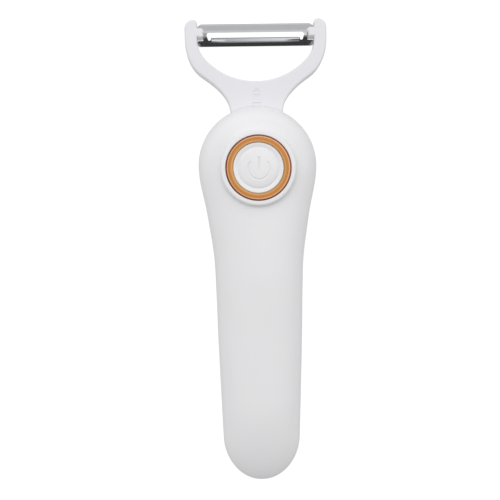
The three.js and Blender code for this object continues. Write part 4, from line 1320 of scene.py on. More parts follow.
    def rear_wall(self) -> Piece:
        """Wall behind the parting plane, with the rebate for the front shell's lip.

        Returns:
            The wall, from end to end.
        """
        half = self.half(-1)
        trim(half, (0, 0, 0), (0, 0, -1))
        wall = make_object(half, "housing_wall")
        combine(wall, self.hollow(), Combine.CUT)
        rebate = self.form.solid(self.rebate_inset)
        trim(rebate, (0, 0, self.form.parting - self.lip_depth - self.fit), (0, 0, -1))
        combine(wall, rebate, Combine.CUT)
        return wall

    def rear_shell(self) -> Piece:
        """Back of the round head, with the screws' counterbores.

        Returns:
            The shell.
        """
        shell = self.rear_wall()
        shell.name = "housing_rear"
        low = self.cover_seam + self.seam / 2
        span = self.form.head_radius * 2
        high = (span, self.form.length + 1, self.form.parting)
        combine(shell, box((-span, low, -1), high), Combine.KEEP)
        combine(shell, self.collar(False), Combine.JOIN)
        combine(shell, self.mouth(), Combine.CUT)
        combine(shell, self.rear_inside(), Combine.JOIN)
        for radius, top in ((self.head_bore, self.head_seat), (self.shank_bore, self.form.parting + 1)):
            bores = [pillar(radius, x, y, -1, top) for x, y in self.posts]
            combine(shell, merged(*bores), Combine.CUT)
        shade(shell)
        return shell

    def battery_cover(self) -> Piece:
        """Back of the grip, with the grooves that a thumb pushes against.

        Returns:
            The cover.
        """
        cover = self.rear_wall()
        cover.name = "battery_door"
        high = self.cover_seam - self.seam / 2
        span = self.form.head_radius * 2
        combine(cover, box((-span, -1, -1), (span, high, self.form.parting)), Combine.KEEP)
        for features in self.cover_inside():
            combine(cover, features, Combine.JOIN)
        height = self.groove_depth - self.groove_radius
        half = self.groove_half - self.groove_radius
        for i in range(self.groove_count):
            y = self.groove_start - i * self.groove_pitch
            groove = capsule(self.groove_radius, (-half, y, height), (half, y, height))
            combine(cover, groove, Combine.CUT)
        shade(cover)
        return cover

    def build(self) -> None:
        """Build and dress the three pieces."""
        dress(self.front_shell(), WHITE_ABS, "handle", ["front_shell"])
        dress(self.rear_shell(), WHITE_ABS, "handle", ["rear_shell"])
        dress(self.battery_cover(), WHITE_ABS, "cover", ["battery_cover"])


# The button and its ring


@dataclass
class Controls:
    """Power button and the ring round it."""

    place: float = 131.0
    ring_inner: float = 10.45
    ring_outer: float = 13.55
    ring_low: float = 28.6
    ring_top: float = 30.4
    ring_edge: float = 0.2
    small_edge: float = 0.1
    cap_radius: float = 10.4
    rim_top: float = 30.2
    rim_round: float = 0.25
    valley: float = 29.75
    valley_width: float = 0.35
    rim_width: float = 0.8
    dome_radius: float = 8.4
    dome_height: float = 1.05
    dome_steps: int = 14
    cap_wall: float = 1.15
    cap_rounds: tuple[float, float, float, float] = (0.2, 0.4, 0.5, 0.3)
    valley_rise: float = 0.04
    turn_steps: int = 144
    flange_radius: float = 11.6
    flange_low: float = 24.8
    flange_top: float = 26.0
    stem_radius: float = 2.6
    stem_low: float = 26.4
    symbol_radius: float = 4.45
    symbol_x: float = 0.25
    symbol_drop: float = 0.5
    symbol_gap: float = math.radians(96)
    stroke: float = 0.58
    stroke_sink: float = 0.28
    bar_low: float = -0.85
    bar_high: float = 4.7

    def dome_at(self, radius: float) -> float:
        """Height of the button's dome at a radius."""
        share = min(radius / self.dome_radius, 1.0)
        return self.valley + self.dome_height * math.sqrt(1 - share**2)

    def trim_ring(self) -> Piece:
        """Flat-topped ring with rounded edges.

        Returns:
            The ring.
        """
        profile = [
            (self.ring_inner, self.ring_low, self.small_edge),
            (self.ring_outer, self.ring_low, self.small_edge),
            (self.ring_outer, self.ring_top, self.ring_edge),
            (self.ring_inner, self.ring_top, self.ring_edge),
        ]
        turned = lathe(round_corners(profile, 5), (0, self.place, 0), self.turn_steps)
        ring = make_object(turned, "accent_ring")
        shade(ring)
        return ring

    def symbol(self) -> Solid:
        """Cutter for the broken circle of the engraved on/off sign.

        Returns:
            The cutter.
        """
        centre = (self.symbol_x, self.place - self.symbol_drop, 0)
        bm = bmesh.new()
        height = self.dome_at(self.symbol_radius) + self.stroke_sink
        place = Matrix.Translation((0, self.symbol_radius, height))
        turn = place @ Matrix.Rotation(math.pi / 2, 4, "Y")
        bmesh.ops.create_circle(bm, cap_ends=True, segments=12, radius=self.stroke, matrix=turn)
        bm.transform(Matrix.Rotation(self.symbol_gap / 2, 4, "Z"))
        sweep = {"axis": (0, 0, 1), "angle": 2 * math.pi - self.symbol_gap, "steps": 72}
        bmesh.ops.spin(bm, geom=everything(bm), cent=(0, 0, 0), **sweep)
        bmesh.ops.recalc_face_normals(bm, faces=bm.faces[:])
        bmesh.ops.translate(bm, verts=bm.verts[:], vec=centre)
        return bm

    def bar(self) -> Solid:
        """Cutter for the sign's bar.

        Returns:
            The cutter.
        """
        ends = []
        for end in (self.bar_low, self.bar_high):
            place = self.place - self.symbol_drop + end
            height = self.dome_at(abs(place - self.place)) + self.stroke_sink
            ends.append((self.symbol_x, place, height))
        return capsule(self.stroke, *ends)

    def button_cap(self) -> Piece:
        """Button: a low dome, a round valley and a rim, with the on/off sign engraved.

        Returns:
            The button.
        """
        under = self.valley - self.cap_wall
        inner = self.cap_radius - self.cap_wall
        stem, ceiling, rim, valley = self.cap_rounds
        profile = [
            (self.stem_radius, self.stem_low, stem),
            (self.stem_radius, under, 0),
            (inner, under, ceiling),
            (inner, self.flange_low, 0),
            (self.flange_radius, self.flange_low, self.small_edge),
            (self.flange_radius, self.flange_top, self.small_edge),
            (self.cap_radius, self.flange_top, 0),
            (self.cap_radius, self.rim_top, self.rim_round),
            (self.cap_radius - self.rim_width, self.rim_top - self.small_edge, rim),
            (self.dome_radius + self.valley_width, self.valley + self.valley_rise, valley),
        ]
        points = [(0.0, self.stem_low), *round_corners(profile, 5)]
        for i in range(self.dome_steps + 1):
            turn = i / self.dome_steps * math.pi / 2
            height = self.valley + self.dome_height * math.sin(turn)
            points.append((self.dome_radius * math.cos(turn), height))
        cap = make_object(lathe(points, (0, self.place, 0), self.turn_steps), "power_button")
        combine(cap, self.symbol(), Combine.CUT)
        combine(cap, self.bar(), Combine.CUT)
        shade(cap, 40)
        return cap

    def build(self) -> None:
        """Build and dress the ring and the button."""
        dress(self.trim_ring(), ORANGE_RING, "handle", ["trim_ring"])
        dress(self.button_cap(), WHITE_ABS, "button", ["button_cap"])


# The power pack and the screws


def corners(node: str) -> tuple[Vector, Vector]:
    """Lowest and highest corner of a CAD node, in millimetres from the handle's end.

    Args:
        node: Name of the node.

    Returns:
        The two corners.
    """
    shift = Vector((0, LOW_END, 0))
    low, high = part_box(node)
    return Vector(low) / MM - shift, Vector(high) / MM - shift


@dataclass
class Screw:
    """Pan-head screw that stands on its head, with a cross recess and a coarse thread.

    The recess's reach and foot are shares of the head's radius and of the recess's own width.
    """

    shank_radius: float
    head_radius: float
    head_height: float
    pitch: float = 0.9
    thread_depth: float = 0.25
    recess_half: float = 0.28
    recess_depth: float = 0.9
    recess_reach: float = 0.62
    recess_foot: float = 0.6
    head_rounds: Point = (0.5, 0.1)

    def recess(self) -> Solid:
        """Cutter for the cross recess, narrower at its foot.

        Returns:
            The cutter.
        """
        reach, half = self.recess_reach * self.head_radius, self.recess_half
        outline = []
        for quarter in range(4):
            turn = Matrix.Rotation(quarter * math.pi / 2, 2)
            outline += [turn @ Vector(point) for point in ((reach, -half), (reach, half), (half, half))]
        bm = plate(outline, -1, self.recess_depth)
        for vert in bm.verts:
            if vert.co.z > 0:
                vert.co.xy *= self.recess_foot
        return bm

    def build(self, node: str, slot: str, body: str) -> None:
        """Build and dress the screw in place of a CAD node.

        Args:
            node: The node.
            slot: Name of a material slot; not used.
            body: Body that it rides on.
        """
        low, high = corners(node)
        length = high.z - low.z
        crown, brim = self.head_rounds
        profile = [(0, 0, 0), (self.head_radius, 0, crown), (self.head_radius, self.head_height, brim)]
        points = round_corners(profile, 4) + [(self.shank_radius, self.head_height)]
        root = self.shank_radius - self.thread_depth
        height = self.head_height + self.pitch
        while height < length - 2 * self.pitch:
            points += [(root, height), (self.shank_radius, height + self.pitch / 2)]
            height += self.pitch
        points += [(root, length - self.pitch / 2), (0, length)]
        screw = make_object(lathe(points, (0, 0, 0), 32), f"{node}_cross")
        combine(screw, self.recess(), Combine.CUT)
        middle = (low + high) / 2
        screw.data.transform(Matrix.Translation(Vector((middle.x, middle.y, low.z)) * MM))
        shade(screw)
        dress(screw, ZINC_STEEL, body, [node])


@dataclass
class PowerPack:
    """The two cells in their shrink film, and the conical springs that press on them."""

    radius: float = 7.2
    rim: float = 0.7
    film: float = 0.15
    film_reach: float = 1.1
    nub_radius: float = 2.7
    nub_height: float = 1.2
    nub_round: float = 0.5
    nub_foot: float = 0.2
    film_edge: float = 0.05
    turn_steps: int = 64
    wire: float = 0.35
    base_radius: float = 3.9
    tip_radius: float = 2.5
    turns: float = 4.5
    steps: int = 24
    dead_turns: float = 0.8

    def along(self, bm: Solid, node: str, turned: bool) -> Solid:
        """Lay a piece that stands on its foot along the handle, in a CAD node's place.

        Args:
            bm: The piece.
            node: The node.
            turned: Whether its top points to the handle's end.

        Returns:
            The piece.
        """
        low, high = corners(node)
        middle = (low + high) / 2
        start = Vector((middle.x, high.y if turned else low.y, middle.z))
        turn = Matrix.Rotation((1 if turned else -1) * math.pi / 2, 4, "X")
        bm.transform(Matrix.Translation(start) @ turn)
        return bm

    def cell(self, side: str, turned: bool) -> None:
        """Build and dress a cell: a steel can with a raised contact, and the film round it.

        Args:
            side: Left or right.
            turned: Whether its top points to the handle's end.
        """
        node = f"battery_cell_{side}"
        low, high = corners(node)
        shoulder = high.y - low.y - self.nub_height
        can_radius = self.radius - self.film
        can = [
            (0, self.film, 0),
            (can_radius, self.film, self.rim),
            (can_radius, shoulder - self.film, self.rim),
            (self.nub_radius, shoulder - self.film, self.nub_foot),
            (self.nub_radius, shoulder + self.nub_height, self.nub_round),
        ]
        points = [*round_corners(can), (0, shoulder + self.nub_height)]
        upright = lathe(points, steps=self.turn_steps)
        steel = make_object(self.along(upright, node, turned), f"cell_can_{side}")
        shade(steel)
        dress(steel, ZINC_STEEL, "handle", [node])
        inner = self.radius - self.film_reach
        film = [
            (inner, 0, self.film_edge),
            (self.radius, 0, self.rim),
            (self.radius, shoulder, self.rim),
            (inner, shoulder, self.film_edge),
            (inner, shoulder - self.film, 0),
            (can_radius, shoulder - self.film, self.rim - self.film),
            (can_radius, self.film, self.rim - self.film),
            (inner, self.film, 0),
        ]
        upright = lathe(round_corners(film), steps=self.turn_steps)
        wrap = make_object(self.along(upright, node, turned), f"cell_film_{side}")
        shade(wrap)
        dress(wrap, CELL_WRAP, "handle", [node])

    def spring(self, side: str, turned: bool) -> None:
        """Build and dress a spring: a cone of wire whose last turn at each end lies flat.

        Args:
            side: Left or right.
            turned: Whether its top points to the handle's end.
        """
        node = f"contact_spring_{side}"
        low, high = corners(node)
        climb = high.y - low.y - 2 * self.wire
        curve = bpy.data.curves.new("coil", "CURVE")
        curve.dimensions = "3D"
        curve.bevel_depth = self.wire
        curve.bevel_resolution = 3
        curve.use_fill_caps = True
        count = round(self.turns * self.steps)
        spline = curve.splines.new("POLY")
        spline.points.add(count)
        for i, point in enumerate(spline.points):
            turn = i / self.steps
            done = (turn - self.dead_turns) / (self.turns - 2 * self.dead_turns)
            share = min(max(done, 0.0), 1.0)
            radius = self.base_radius + (self.tip_radius - self.base_radius) * i / count
            angle = 2 * math.pi * turn
            height = self.wire + climb * share
            point.co = (radius * math.cos(angle), radius * math.sin(angle), height, 1)
        holder = bpy.data.objects.new("coil", curve)
        mesh = bpy.data.meshes.new_from_object(holder)
        bm = bmesh.new()
        bm.from_mesh(mesh)
        bpy.data.objects.remove(holder)
        bpy.data.curves.remove(curve)
        bpy.data.meshes.remove(mesh)
        coil = make_object(self.along(bm, node, turned), f"coil_{side}")
        shade(coil, 60)
        dress(coil, SPRING_STEEL, "handle", [node])

    def build(self) -> None:
        """Build the cells and the springs."""
        for side, turned in (("left", False), ("right", True)):
            self.cell(side, turned)
            self.spring(side, turned)


def build_screws() -> None:
    """Build the screws of the housing, the tray and the board."""
    large = Screw(shank_radius=1.3, head_radius=2.4, head_height=2.0)
    small = Screw(
        shank_radius=0.9,
        head_radius=1.9,
        head_height=1.4,
        pitch=0.7,
        thread_depth=0.18,
        recess_half=0.22,
        recess_depth=0.7,
    )
    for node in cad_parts:
        if "_screw_" in node:
            (large if node.startswith("shell") else small).build(node, "zinc_steel", "handle")


# The head


@dataclass
class Yoke:
    """U-shaped yoke: a flat neck that widens into two arms, with the stubs that carry the blade."""

    form: HousingForm
    neck_start: float = 151.3
    neck_half: float = 11.1
    neck_height: float = 3.5
    flare: float = 155.5
    turn_x: float = 22.4
    turn_place: float = 170.5
    turn_angle: float = math.radians(55.7)
    fork_bottom: float = 168.65
    fork_radius: float = 29.2
    fork_fillet: float = 12.0
    arm_inner: float = 24.65
    arm_outer: float = 29.95
    arm_height: float = 4.7
    arm_end: float = 194.76
    arm_inner_round: float = 1.7
    arm_outer_round: float = 3.6
    blade_place: float = 188.9
    edge: float = 0.85
    stub_start: float = 22.2
    stub_half: float = 1.65
    stub_brow: float = 2.05
    stub_brow_low: float = 1.3
    stub_round: float = 0.6
    stub_sink: float = 0.05
    stub_root: float = 1.6
    bore: float = 1.0
    bore_end: float = 24.4
    tongue_start: float = 140.5
    tongue_half: float = 7.0
    tongue_height: float = 2.75
    tongue_round: float = 0.8
    groove: Point = (152.2, 153.9)
    groove_depth: float = 0.8
    groove_round: float = 0.5
    margin: float = 2.0
    slice: float = 1.0
    arrow_depth: float = 0.32
    arrow_slope: float = 0.2
    arrow_rise: float = 0.04
    arrow: tuple[tuple[Point, ...], ...] = (
        ((-1.75, 163.7), (1.75, 163.7), (0, 165.6)),
        ((-1.4, 160.3), (1.4, 160.3), (1.4, 163.1), (-1.4, 163.1)),
        ((-1.65, 158.95), (1.65, 158.95), (1.65, 159.55), (-1.65, 159.55)),
    )

    def growth(self, place: float) -> float:
        """How much thicker than at its neck the yoke is at a place.

        Args:
            place: Place along the handle.

        Returns:
            The factor.
        """
        span = self.blade_place - self.stub_half - self.flare
        done = min(max((place - self.flare) / span, 0.0), 1.0)
        return 1 + (self.arm_height / self.neck_height - 1) * done**2 * (3 - 2 * done)

    def right_side(self) -> list[Vector]:
        """Outline of the right half, from the neck's foot up the arm and back to the middle.

        Returns:
            Its points.
        """
        slope = math.tan(self.turn_angle)
        bend_low = self.turn_place - (self.turn_x - self.neck_half) / slope
        bend_high = self.turn_place + (self.arm_outer - self.turn_x) / slope
        shoulder = self.blade_place - self.stub_half
        fork = self.fork_bottom + self.fork_radius
        fillet_x = self.arm_inner - self.fork_fillet
        fillet = fork - math.sqrt((self.fork_radius - self.fork_fillet) ** 2 - fillet_x**2)
        tangent = math.atan2(fillet - fork, fillet_x)
        outer = self.arm_outer - self.arm_outer_round
        inner = self.arm_inner + self.arm_inner_round
        pen = Pen(0, self.neck_start)
        pen.line(self.neck_half, self.neck_start).line(self.neck_half, self.flare)
        pen.curve(self.neck_half, bend_low, self.turn_x, self.turn_place)
        pen.curve(self.arm_outer, bend_high, self.arm_outer, shoulder)
        pen.arc(outer, self.arm_end - self.arm_outer_round, self.arm_outer_round, 0, math.pi / 2)
        pen.arc(inner, self.arm_end - self.arm_inner_round, self.arm_inner_round, math.pi / 2, math.pi)
        pen.arc(fillet_x, fillet, self.fork_fillet, 0, tangent, 10)
        pen.arc(0, fork, self.fork_radius, tangent, -math.pi / 2, 24)
        return pen.points

    def fork(self) -> Solid:
        """Fork with rounded edges, thicker at its arms than at its neck.

        Returns:
            The fork.
        """
        right = self.right_side()
        left = [Vector((-p.x, p.y)) for p in reversed(right[1:-1])]
        low = self.form.parting - self.neck_height
        bm = plate([*right, *left], low, self.form.parting + self.neck_height)
        rims = [edge for edge in bm.edges if abs(edge.verts[0].co.z - edge.verts[1].co.z) < MERGE]
        bevel(bm, rims, self.edge, 5)
        places = []
        place = self.flare
        while place < self.arm_end:
            places.append(place)
            place += self.slice
        score(bm, 1, places)
        for vert in bm.verts:
            vert.co.z = self.form.parting + (vert.co.z - self.form.parting) * self.growth(vert.co.y)
        return bm

    def recess(self, outline: Sequence[Point]) -> Solid:
        """Cutter for a shallow recess in the neck's face, with walls that slope.

        Args:
            outline: Outline of the recess, seen from the front.

        Returns:
            The cutter, whose underside follows the neck's face.
        """
        bm = bmesh.new()
        face = bm.faces.new([bm.verts.new((x, y, 0)) for x, y in outline])
        bmesh.ops.inset_region(
            bm, faces=[face], thickness=self.arrow_slope, use_boundary=True, use_even_offset=True
        )
        for vert in bm.verts:
            offset = self.arrow_rise if vert.is_boundary else -self.arrow_depth
            vert.co.z = self.form.parting + self.neck_height * self.growth(vert.co.y) + offset
        bmesh.ops.holes_fill(bm, edges=bm.edges[:])
        bmesh.ops.recalc_face_normals(bm, faces=bm.faces[:])
        return bm

    def stub(self, side: int) -> Solid:
        """Stub on an arm that the blade's pivot turns in.

        Args:
            side: -1 for the left arm and 1 for the right.

        Returns:
            The stub.
        """
        root = self.arm_inner + self.edge * self.stub_root
        low_x, high_x = sorted((side * self.stub_start, side * root))
        foot = self.form.parting - self.arm_height + self.stub_sink
        top = self.form.parting + self.arm_height - self.stub_sink
        low = (low_x, self.blade_place - self.stub_half, foot)
        high = (high_x, self.blade_place + self.stub_half, top)
        brow_low = (low_x, self.blade_place, self.form.parting + self.stub_brow_low)
        brow_high = (high_x, self.blade_place + self.stub_brow, top)
        whole = make_object(box(low, high, self.stub_round), "stub")
        combine(whole, box(brow_low, brow_high, self.stub_round), Combine.JOIN)
        return taken(whole)

    def seal_groove(self) -> Solid:
        """Cutter for the groove round the neck.

        Returns:
            The cutter.
        """
        low, high = self.groove
        half = self.neck_half + self.margin
        height = self.form.parting
        cutter = make_object(box((-half, low, self.margin), (half, high, 2 * height)), "cutter")
        core_x = self.neck_half - self.groove_depth
        core_z = self.neck_height - self.groove_depth
        start, end = low - self.margin / 2, high + self.margin / 2
        core_low, core_high = (-core_x, start, height - core_z), (core_x, end, height + core_z)
        combine(cutter, box(core_low, core_high, self.groove_round), Combine.CUT)
        return taken(cutter)

    def build(self) -> None:
        """Build and dress the yoke."""
        yoke = make_object(self.fork(), "blade_yoke")
        height = self.form.parting
        tongue = box(
            (-self.tongue_half, self.tongue_start, height - self.tongue_height),
            (self.tongue_half, self.flare, height + self.tongue_height),
            self.tongue_round,
        )
        combine(yoke, tongue, Combine.JOIN)
        for side in (-1, 1):
            combine(yoke, self.stub(side), Combine.JOIN)
        combine(yoke, self.seal_groove(), Combine.CUT)
        for outline in self.arrow:
            combine(yoke, self.recess(outline), Combine.CUT)
        for side in (-1, 1):
            start, end = sorted((side * (self.stub_start - 1), side * self.bore_end))
            place = Matrix.Translation(((start + end) / 2, self.blade_place, height))
            across = place @ Matrix.Rotation(math.pi / 2, 4, "Y")
            combine(yoke, rod(self.bore, end - start, across, 24), Combine.CUT)
        shade(yoke, 30)
        weigh = yoke.modifiers.new("even_normals", "WEIGHTED_NORMAL")
        weigh.keep_sharp = True
        dress(yoke, YOKE_ABS, "head", ["yoke"])


@dataclass
class Blade:
    """Peeling blade: a pressed steel strip with a slot, and a lip lanced out of its lower wing."""

    form: HousingForm
    place: float = 188.9
    thickness: float = 0.6
    half_width: float = 4.8
    half_length: float = 24.55
    corner: float = 1.0
    chamfer: Point = (1.2, 1.1)
    roll: float = 0.6
    roll_fall: float = 0.22
    ridge: float = 5.0
    wing: float = math.radians(22)
    slot_high: float = 1.0
    slot_low: float = -1.1
    slot_half: float = 20.8
    lip_half: float = 18.65
    lip_root: float = -3.15
    lip_slant: float = 0.5
    slot_slant: float = 0.6
    relief: float = 20.05
    relief_low: float = -2.35
    notch: float = 22.15
    notch_half: float = 2.5
    notch_round: float = 0.4
    pivot_half: float = 0.75
    pivot_end: float = 24.1
    pivot_rounds: Point = (0.3, 0.15)
    chamfer_round: float = 0.8
    slot_rounds: tuple[float, ...] = (0.1, 0.2, 0.35, 0.5, 0.6)
    rows: tuple[float, ...] = (-2.1, -3.6, 2.6, 3.6)
    columns: Point = (6.0, 12.0)
    deburr: float = 0.08
    deburr_angle: float = math.radians(50)
    lip_thickness: float = 0.4
    hone: float = 0.4
    hone_fall: float = 0.36

    def rolled(self, across: float) -> float:
        """How far the upper edge is rolled over at a place."""
        return self.roll_fall * (max(across - self.half_width + self.roll, 0.0) / self.roll) ** 2

    def wing_height(self, distance: float) -> float:
        """Height of the upper face above the pivot, at a distance from the ridge.

        Args:
            distance: Distance from the ridge, across the blade.

        Returns:
            The height.
        """
        arc = self.ridge * math.sin(self.wing)
        top = self.thickness / 2
        if distance < arc:
            return top - self.ridge + math.sqrt(self.ridge**2 - distance**2)
        drop = self.ridge * (1 - math.cos(self.wing))
        return top - drop - (distance - arc) * math.tan(self.wing)

    def blank(self) -> Solid:
        """Flat blank of the blade, with a pivot standing in the notch at each end.

        Returns:
            The blank.
        """
        root, tip = self.pivot_rounds
        side = [
            (self.half_length, -self.half_width, self.corner),
            (self.half_length, -self.notch_half, self.notch_round),
            (self.notch, -self.notch_half, self.notch_round),
            (self.notch, -self.pivot_half, root),
            (self.pivot_end, -self.pivot_half, tip),
        ]
        upper = [(x, -v, radius) for x, v, radius in reversed(side[1:])]
        upper += [
            (self.half_length, self.half_width - self.chamfer[1], self.notch_round),
            (self.half_length - self.chamfer[0], self.half_width, self.chamfer_round),
        ]
        right = side + upper
        left = [(-x, v, radius) for x, v, radius in reversed(right)]
        return plate(round_corners(right + left, 6), -self.thickness, 0)

    def opening(self) -> Solid:
        """Cutter for the slot, with the reliefs that free the lip at both ends.

        Returns:
            The cutter.
        """
        points = (
            (self.lip_half, self.slot_low),
            (self.lip_half + self.lip_slant, self.relief_low),
            (self.relief, self.relief_low),
            (self.slot_half, 0),
            (self.slot_half - self.slot_slant, self.slot_high),
        )
        side = [(x, v, radius) for (x, v), radius in zip(points, self.slot_rounds)]
        left = [(-x, v, radius) for x, v, radius in reversed(side)]
        return plate(round_corners(side + left, 6), -2 * self.thickness, self.thickness)

    def bend(self, bm: Solid) -> None:
        """Press the flat blank into its ridge and wings; the lip lies level, with a honed edge.

        Args:
            bm: The blank, which is bent.
        """
        level = self.wing_height(-self.lip_root)
        slope = 1 / math.cos(self.wing)
        for vert in bm.verts:
            across, depth = vert.co.y, vert.co.z
            lip = abs(vert.co.x) < self.lip_half + 0.01 and self.lip_root < across < 0
            if lip:
                done = (across - self.lip_root) / (self.slot_low - self.lip_root)
                honed = max(across - self.slot_low + self.hone, 0.0) / self.hone * self.hone_fall
                under = self.thickness + (self.lip_thickness - self.thickness) * done - honed
                vert.co.z = level - honed + depth / self.thickness * under
            else:
                vert.co.z = self.wing_height(abs(across)) + depth * slope - self.rolled(across)

    def build(self) -> None:
        """Build and dress the blade."""
        blank = make_object(self.blank(), "blank")
        combine(blank, self.opening(), Combine.CUT)
        bm = taken(blank)
        arc = self.ridge * math.sin(self.wing)
        rows = [arc * step / 5 for step in range(-5, 6)]
        rows += [self.half_width - self.roll * step / 4 for step in range(1, 5)]
        score(bm, 1, [*rows, self.lip_root, self.slot_low - self.hone, *self.rows])
        score(bm, 0, [side * x for x in (self.lip_half, *self.columns) for side in (-1, 1)])
        self.bend(bm)
        bmesh.ops.translate(bm, verts=bm.verts[:], vec=(0, self.place, self.form.parting))
        blade = make_object(bm, "peeling_blade_steel")
        shade(blade, 25)
        rounding = blade.modifiers.new("rounding", "BEVEL")
        rounding.width = self.deburr * MM
        rounding.segments = 2
        rounding.limit_method = "ANGLE"
        rounding.angle_limit = self.deburr_angle
        dress(blade, BLADE_STEEL, "peeling_blade", ["blade"])


# The studio


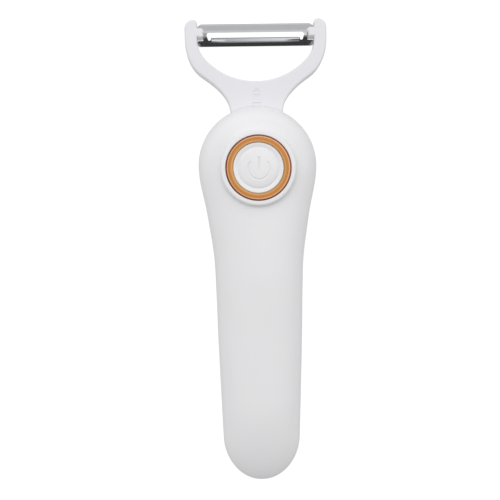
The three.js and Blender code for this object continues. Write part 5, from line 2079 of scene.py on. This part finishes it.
@dataclass
class Studio:
    """White ground, a soft lamp, a room to mirror, and the camera of the photograph.

    Mirrored holds the levels that gloss sees of the room, by tilt in degrees: -90 is level beyond
    the handle's end, 0 is overhead and 90 is level beyond the head. Overhead holds, by the same
    tilt, how far a strip that brightens from left to right takes the place of those levels.
    """

    pixel: float = 0.425
    frame_pixels: int = 500
    sensor: float = 36.0
    distance: float = 480.0
    middle_x: float = -3.73
    middle_place: float = 97.3
    middle_height: float = 13.0
    lean: float = math.radians(0.95)
    turn: float = math.radians(0.91)
    floor_half: float = 3.0
    floor_drop: float = 0.1
    floor_seen: float = 0.84
    floor_mirrored: float = 0.4
    floor_bounce: float = 0.38
    floor_grey: float = 0.3
    lamp_place: Corner = (-0.06, 0.12, 0.42)
    lamp_size: float = 0.3
    lamp_power: float = 0.34
    room_span: Point = (-0.9, 0.5)
    horizon_top: float = 0.6
    room_low: float = 0.36
    room_high: float = 0.94
    horizon: float = 0.92
    mirrored: tuple[Point, ...] = (
        (-90, 0.35),
        (-66, 0.3),
        (-58, 0.06),
        (-24, 0.06),
        (-10, 0.4),
        (28, 0.8),
        (36, 1.0),
        (46, 1.0),
        (54, 0.76),
        (61, 0.8),
        (70, 1.2),
        (80, 1.2),
        (90, 0.6),
    )
    overhead: tuple[Point, ...] = ((-8, 0.0), (2, 1.0), (18, 1.0), (30, 0.0))
    overhead_span: Point = (-0.06, 0.05)
    overhead_left: float = 0.12
    overhead_right: float = 1.3

    def camera(self) -> None:
        """Camera above the peeler, turned and leaned as in the photograph."""
        width = self.pixel * self.frame_pixels
        data = bpy.data.cameras.new("camera")
        data.sensor_width = self.sensor
        data.lens = self.sensor * self.distance / width
        camera = bpy.data.objects.new("camera", data)
        bpy.context.scene.collection.objects.link(camera)
        target = Vector((self.middle_x, self.middle_place + LOW_END, self.middle_height)) * MM
        turn = Matrix.Rotation(-self.lean, 4, "Y") @ Matrix.Rotation(-self.turn, 4, "Z")
        back = turn @ Vector((0, 0, 1))
        camera.matrix_world = Matrix.Translation(target + back * self.distance * MM) @ turn
        bpy.context.scene.camera = camera

    def floor(self) -> None:
        """White ground: what the camera sees is white, but for the peeler's shadow; mirrors see it a dimmer
        grey.
        """
        bm = bmesh.new()
        height = -self.floor_drop
        place = Matrix.Translation((0, -LOW_END, height)) @ Matrix.Scale(self.floor_half / MM, 4)
        bmesh.ops.create_grid(bm, x_segments=1, y_segments=1, size=1, matrix=place)
        floor = make_object(bm, "floor")
        made = bpy.data.materials.new("white_ground")
        made.use_nodes = True
        tree = made.node_tree
        tree.nodes.clear()
        path = add_node(tree, "ShaderNodeLightPath")
        strength = self.floor_bounce
        for ray, level in (("Is Glossy Ray", self.floor_mirrored), ("Is Camera Ray", self.floor_seen)):
            choice = {"Value": path.outputs[ray], "To Min": strength, "To Max": level}
            strength = add_node(tree, "ShaderNodeMapRange", choice).outputs[0]
        glow = add_node(tree, "ShaderNodeEmission", {"Color": grey(1.0), "Strength": strength})
        matt = add_node(tree, "ShaderNodeBsdfDiffuse", {"Color": grey(self.floor_grey)})
        both = add_node(tree, "ShaderNodeAddShader", {0: glow.outputs[0], 1: matt.outputs[0]})
        add_node(tree, "ShaderNodeOutputMaterial", {"Surface": both.outputs[0]})
        floor.data.materials.append(made)

    def lamp(self) -> None:
        """Square soft lamp that faces the peeler; its place and size are in metres."""
        data = bpy.data.lights.new("lamp_near_head", "AREA")
        data.size = self.lamp_size
        data.energy = self.lamp_power
        lamp = bpy.data.objects.new("lamp_near_head", data)
        lamp.visible_glossy = False
        bpy.context.scene.collection.objects.link(lamp)
        place = Vector(self.lamp_place)
        turn = place.to_track_quat("Z", "Y").to_matrix().to_4x4()
        lamp.matrix_world = Matrix.Translation(place) @ turn

    def sky(self) -> None:
        """Room light: bright beyond the head, dim beyond the handle's end, white to the camera."""
        world = bpy.data.worlds.new("room")
        bpy.context.scene.world = world
        world.use_nodes = True
        tree = world.node_tree
        tree.nodes.clear()
        way = add_node(tree, "ShaderNodeTexCoord").outputs["Generated"]
        parts = add_node(tree, "ShaderNodeSeparateXYZ", {0: way})
        light = add_node(
            tree,
            "ShaderNodeMapRange",
            {
                "Value": parts.outputs["Y"],
                "From Min": self.room_span[0],
                "From Max": self.room_span[1],
                "To Min": self.room_low,
                "To Max": self.room_high,
            },
            interpolation_type="SMOOTHSTEP",
        )
        height = add_node(
            tree,
            "ShaderNodeMapRange",
            {"Value": parts.outputs["Z"], "From Max": self.horizon_top, "To Min": self.horizon},
            interpolation_type="SMOOTHSTEP",
        )
        light = add_node(
            tree, "ShaderNodeMath", {0: light.outputs[0], 1: height.outputs[0]}, operation="MULTIPLY"
        )
        tilt = add_node(
            tree, "ShaderNodeMath", {0: parts.outputs["Y"], 1: parts.outputs["Z"]}, operation="ARCTAN2"
        )
        share = add_node(
            tree,
            "ShaderNodeMapRange",
            {"Value": tilt.outputs[0], "From Min": -math.pi / 2, "From Max": math.pi / 2},
        )
        stops = [((angle + 90) / 180, grey(level)) for angle, level in self.mirrored]
        panels = gradient(tree, share.outputs[0], stops)
        over = gradient(tree, share.outputs[0], [((a + 90) / 180, grey(v)) for a, v in self.overhead])
        across = add_node(
            tree,
            "ShaderNodeMapRange",
            {
                "Value": parts.outputs["X"],
                "From Min": self.overhead_span[0],
                "From Max": self.overhead_span[1],
                "To Min": self.overhead_left,
                "To Max": self.overhead_right,
            },
            interpolation_type="SMOOTHSTEP",
        )
        panels = add_node(
            tree, "ShaderNodeMix", {0: over, 2: panels, 3: across.outputs[0]}, data_type="FLOAT"
        ).outputs[0]
        path = add_node(tree, "ShaderNodeLightPath")
        strength = add_node(
            tree,
            "ShaderNodeMix",
            {0: path.outputs["Is Glossy Ray"], 2: light.outputs[0], 3: panels},
            data_type="FLOAT",
        )
        lit = {"Color": grey(1.0), "Strength": strength.outputs[0]}
        room = add_node(tree, "ShaderNodeBackground", lit).outputs[0]
        white = add_node(tree, "ShaderNodeBackground", {"Color": grey(1.0), "Strength": 1.0}).outputs[0]
        seen = {0: path.outputs["Is Camera Ray"], 1: room, 2: white}
        mix = add_node(tree, "ShaderNodeMixShader", seen)
        add_node(tree, "ShaderNodeOutputWorld", {"Surface": mix.outputs[0]})

    def build(self) -> None:
        """Set up the camera, the ground and the light."""
        self.camera()
        self.floor()
        self.lamp()
        self.sky()


def main() -> None:
    """Build the scene: camera and ground first, then the peeler from the housing outwards."""
    logging.basicConfig(level=logging.INFO, format="%(name)s: %(message)s", stream=sys.stdout)
    bpy.context.scene.view_settings.view_transform = "Standard"
    Studio().build()
    form = HousingForm()
    dress_nodes(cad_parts)
    Housing(form).build()
    Controls().build()
    PowerPack().build()
    build_screws()
    Yoke(form).build()
    Blade(form).build()


if __name__ == "__main__":
    main()
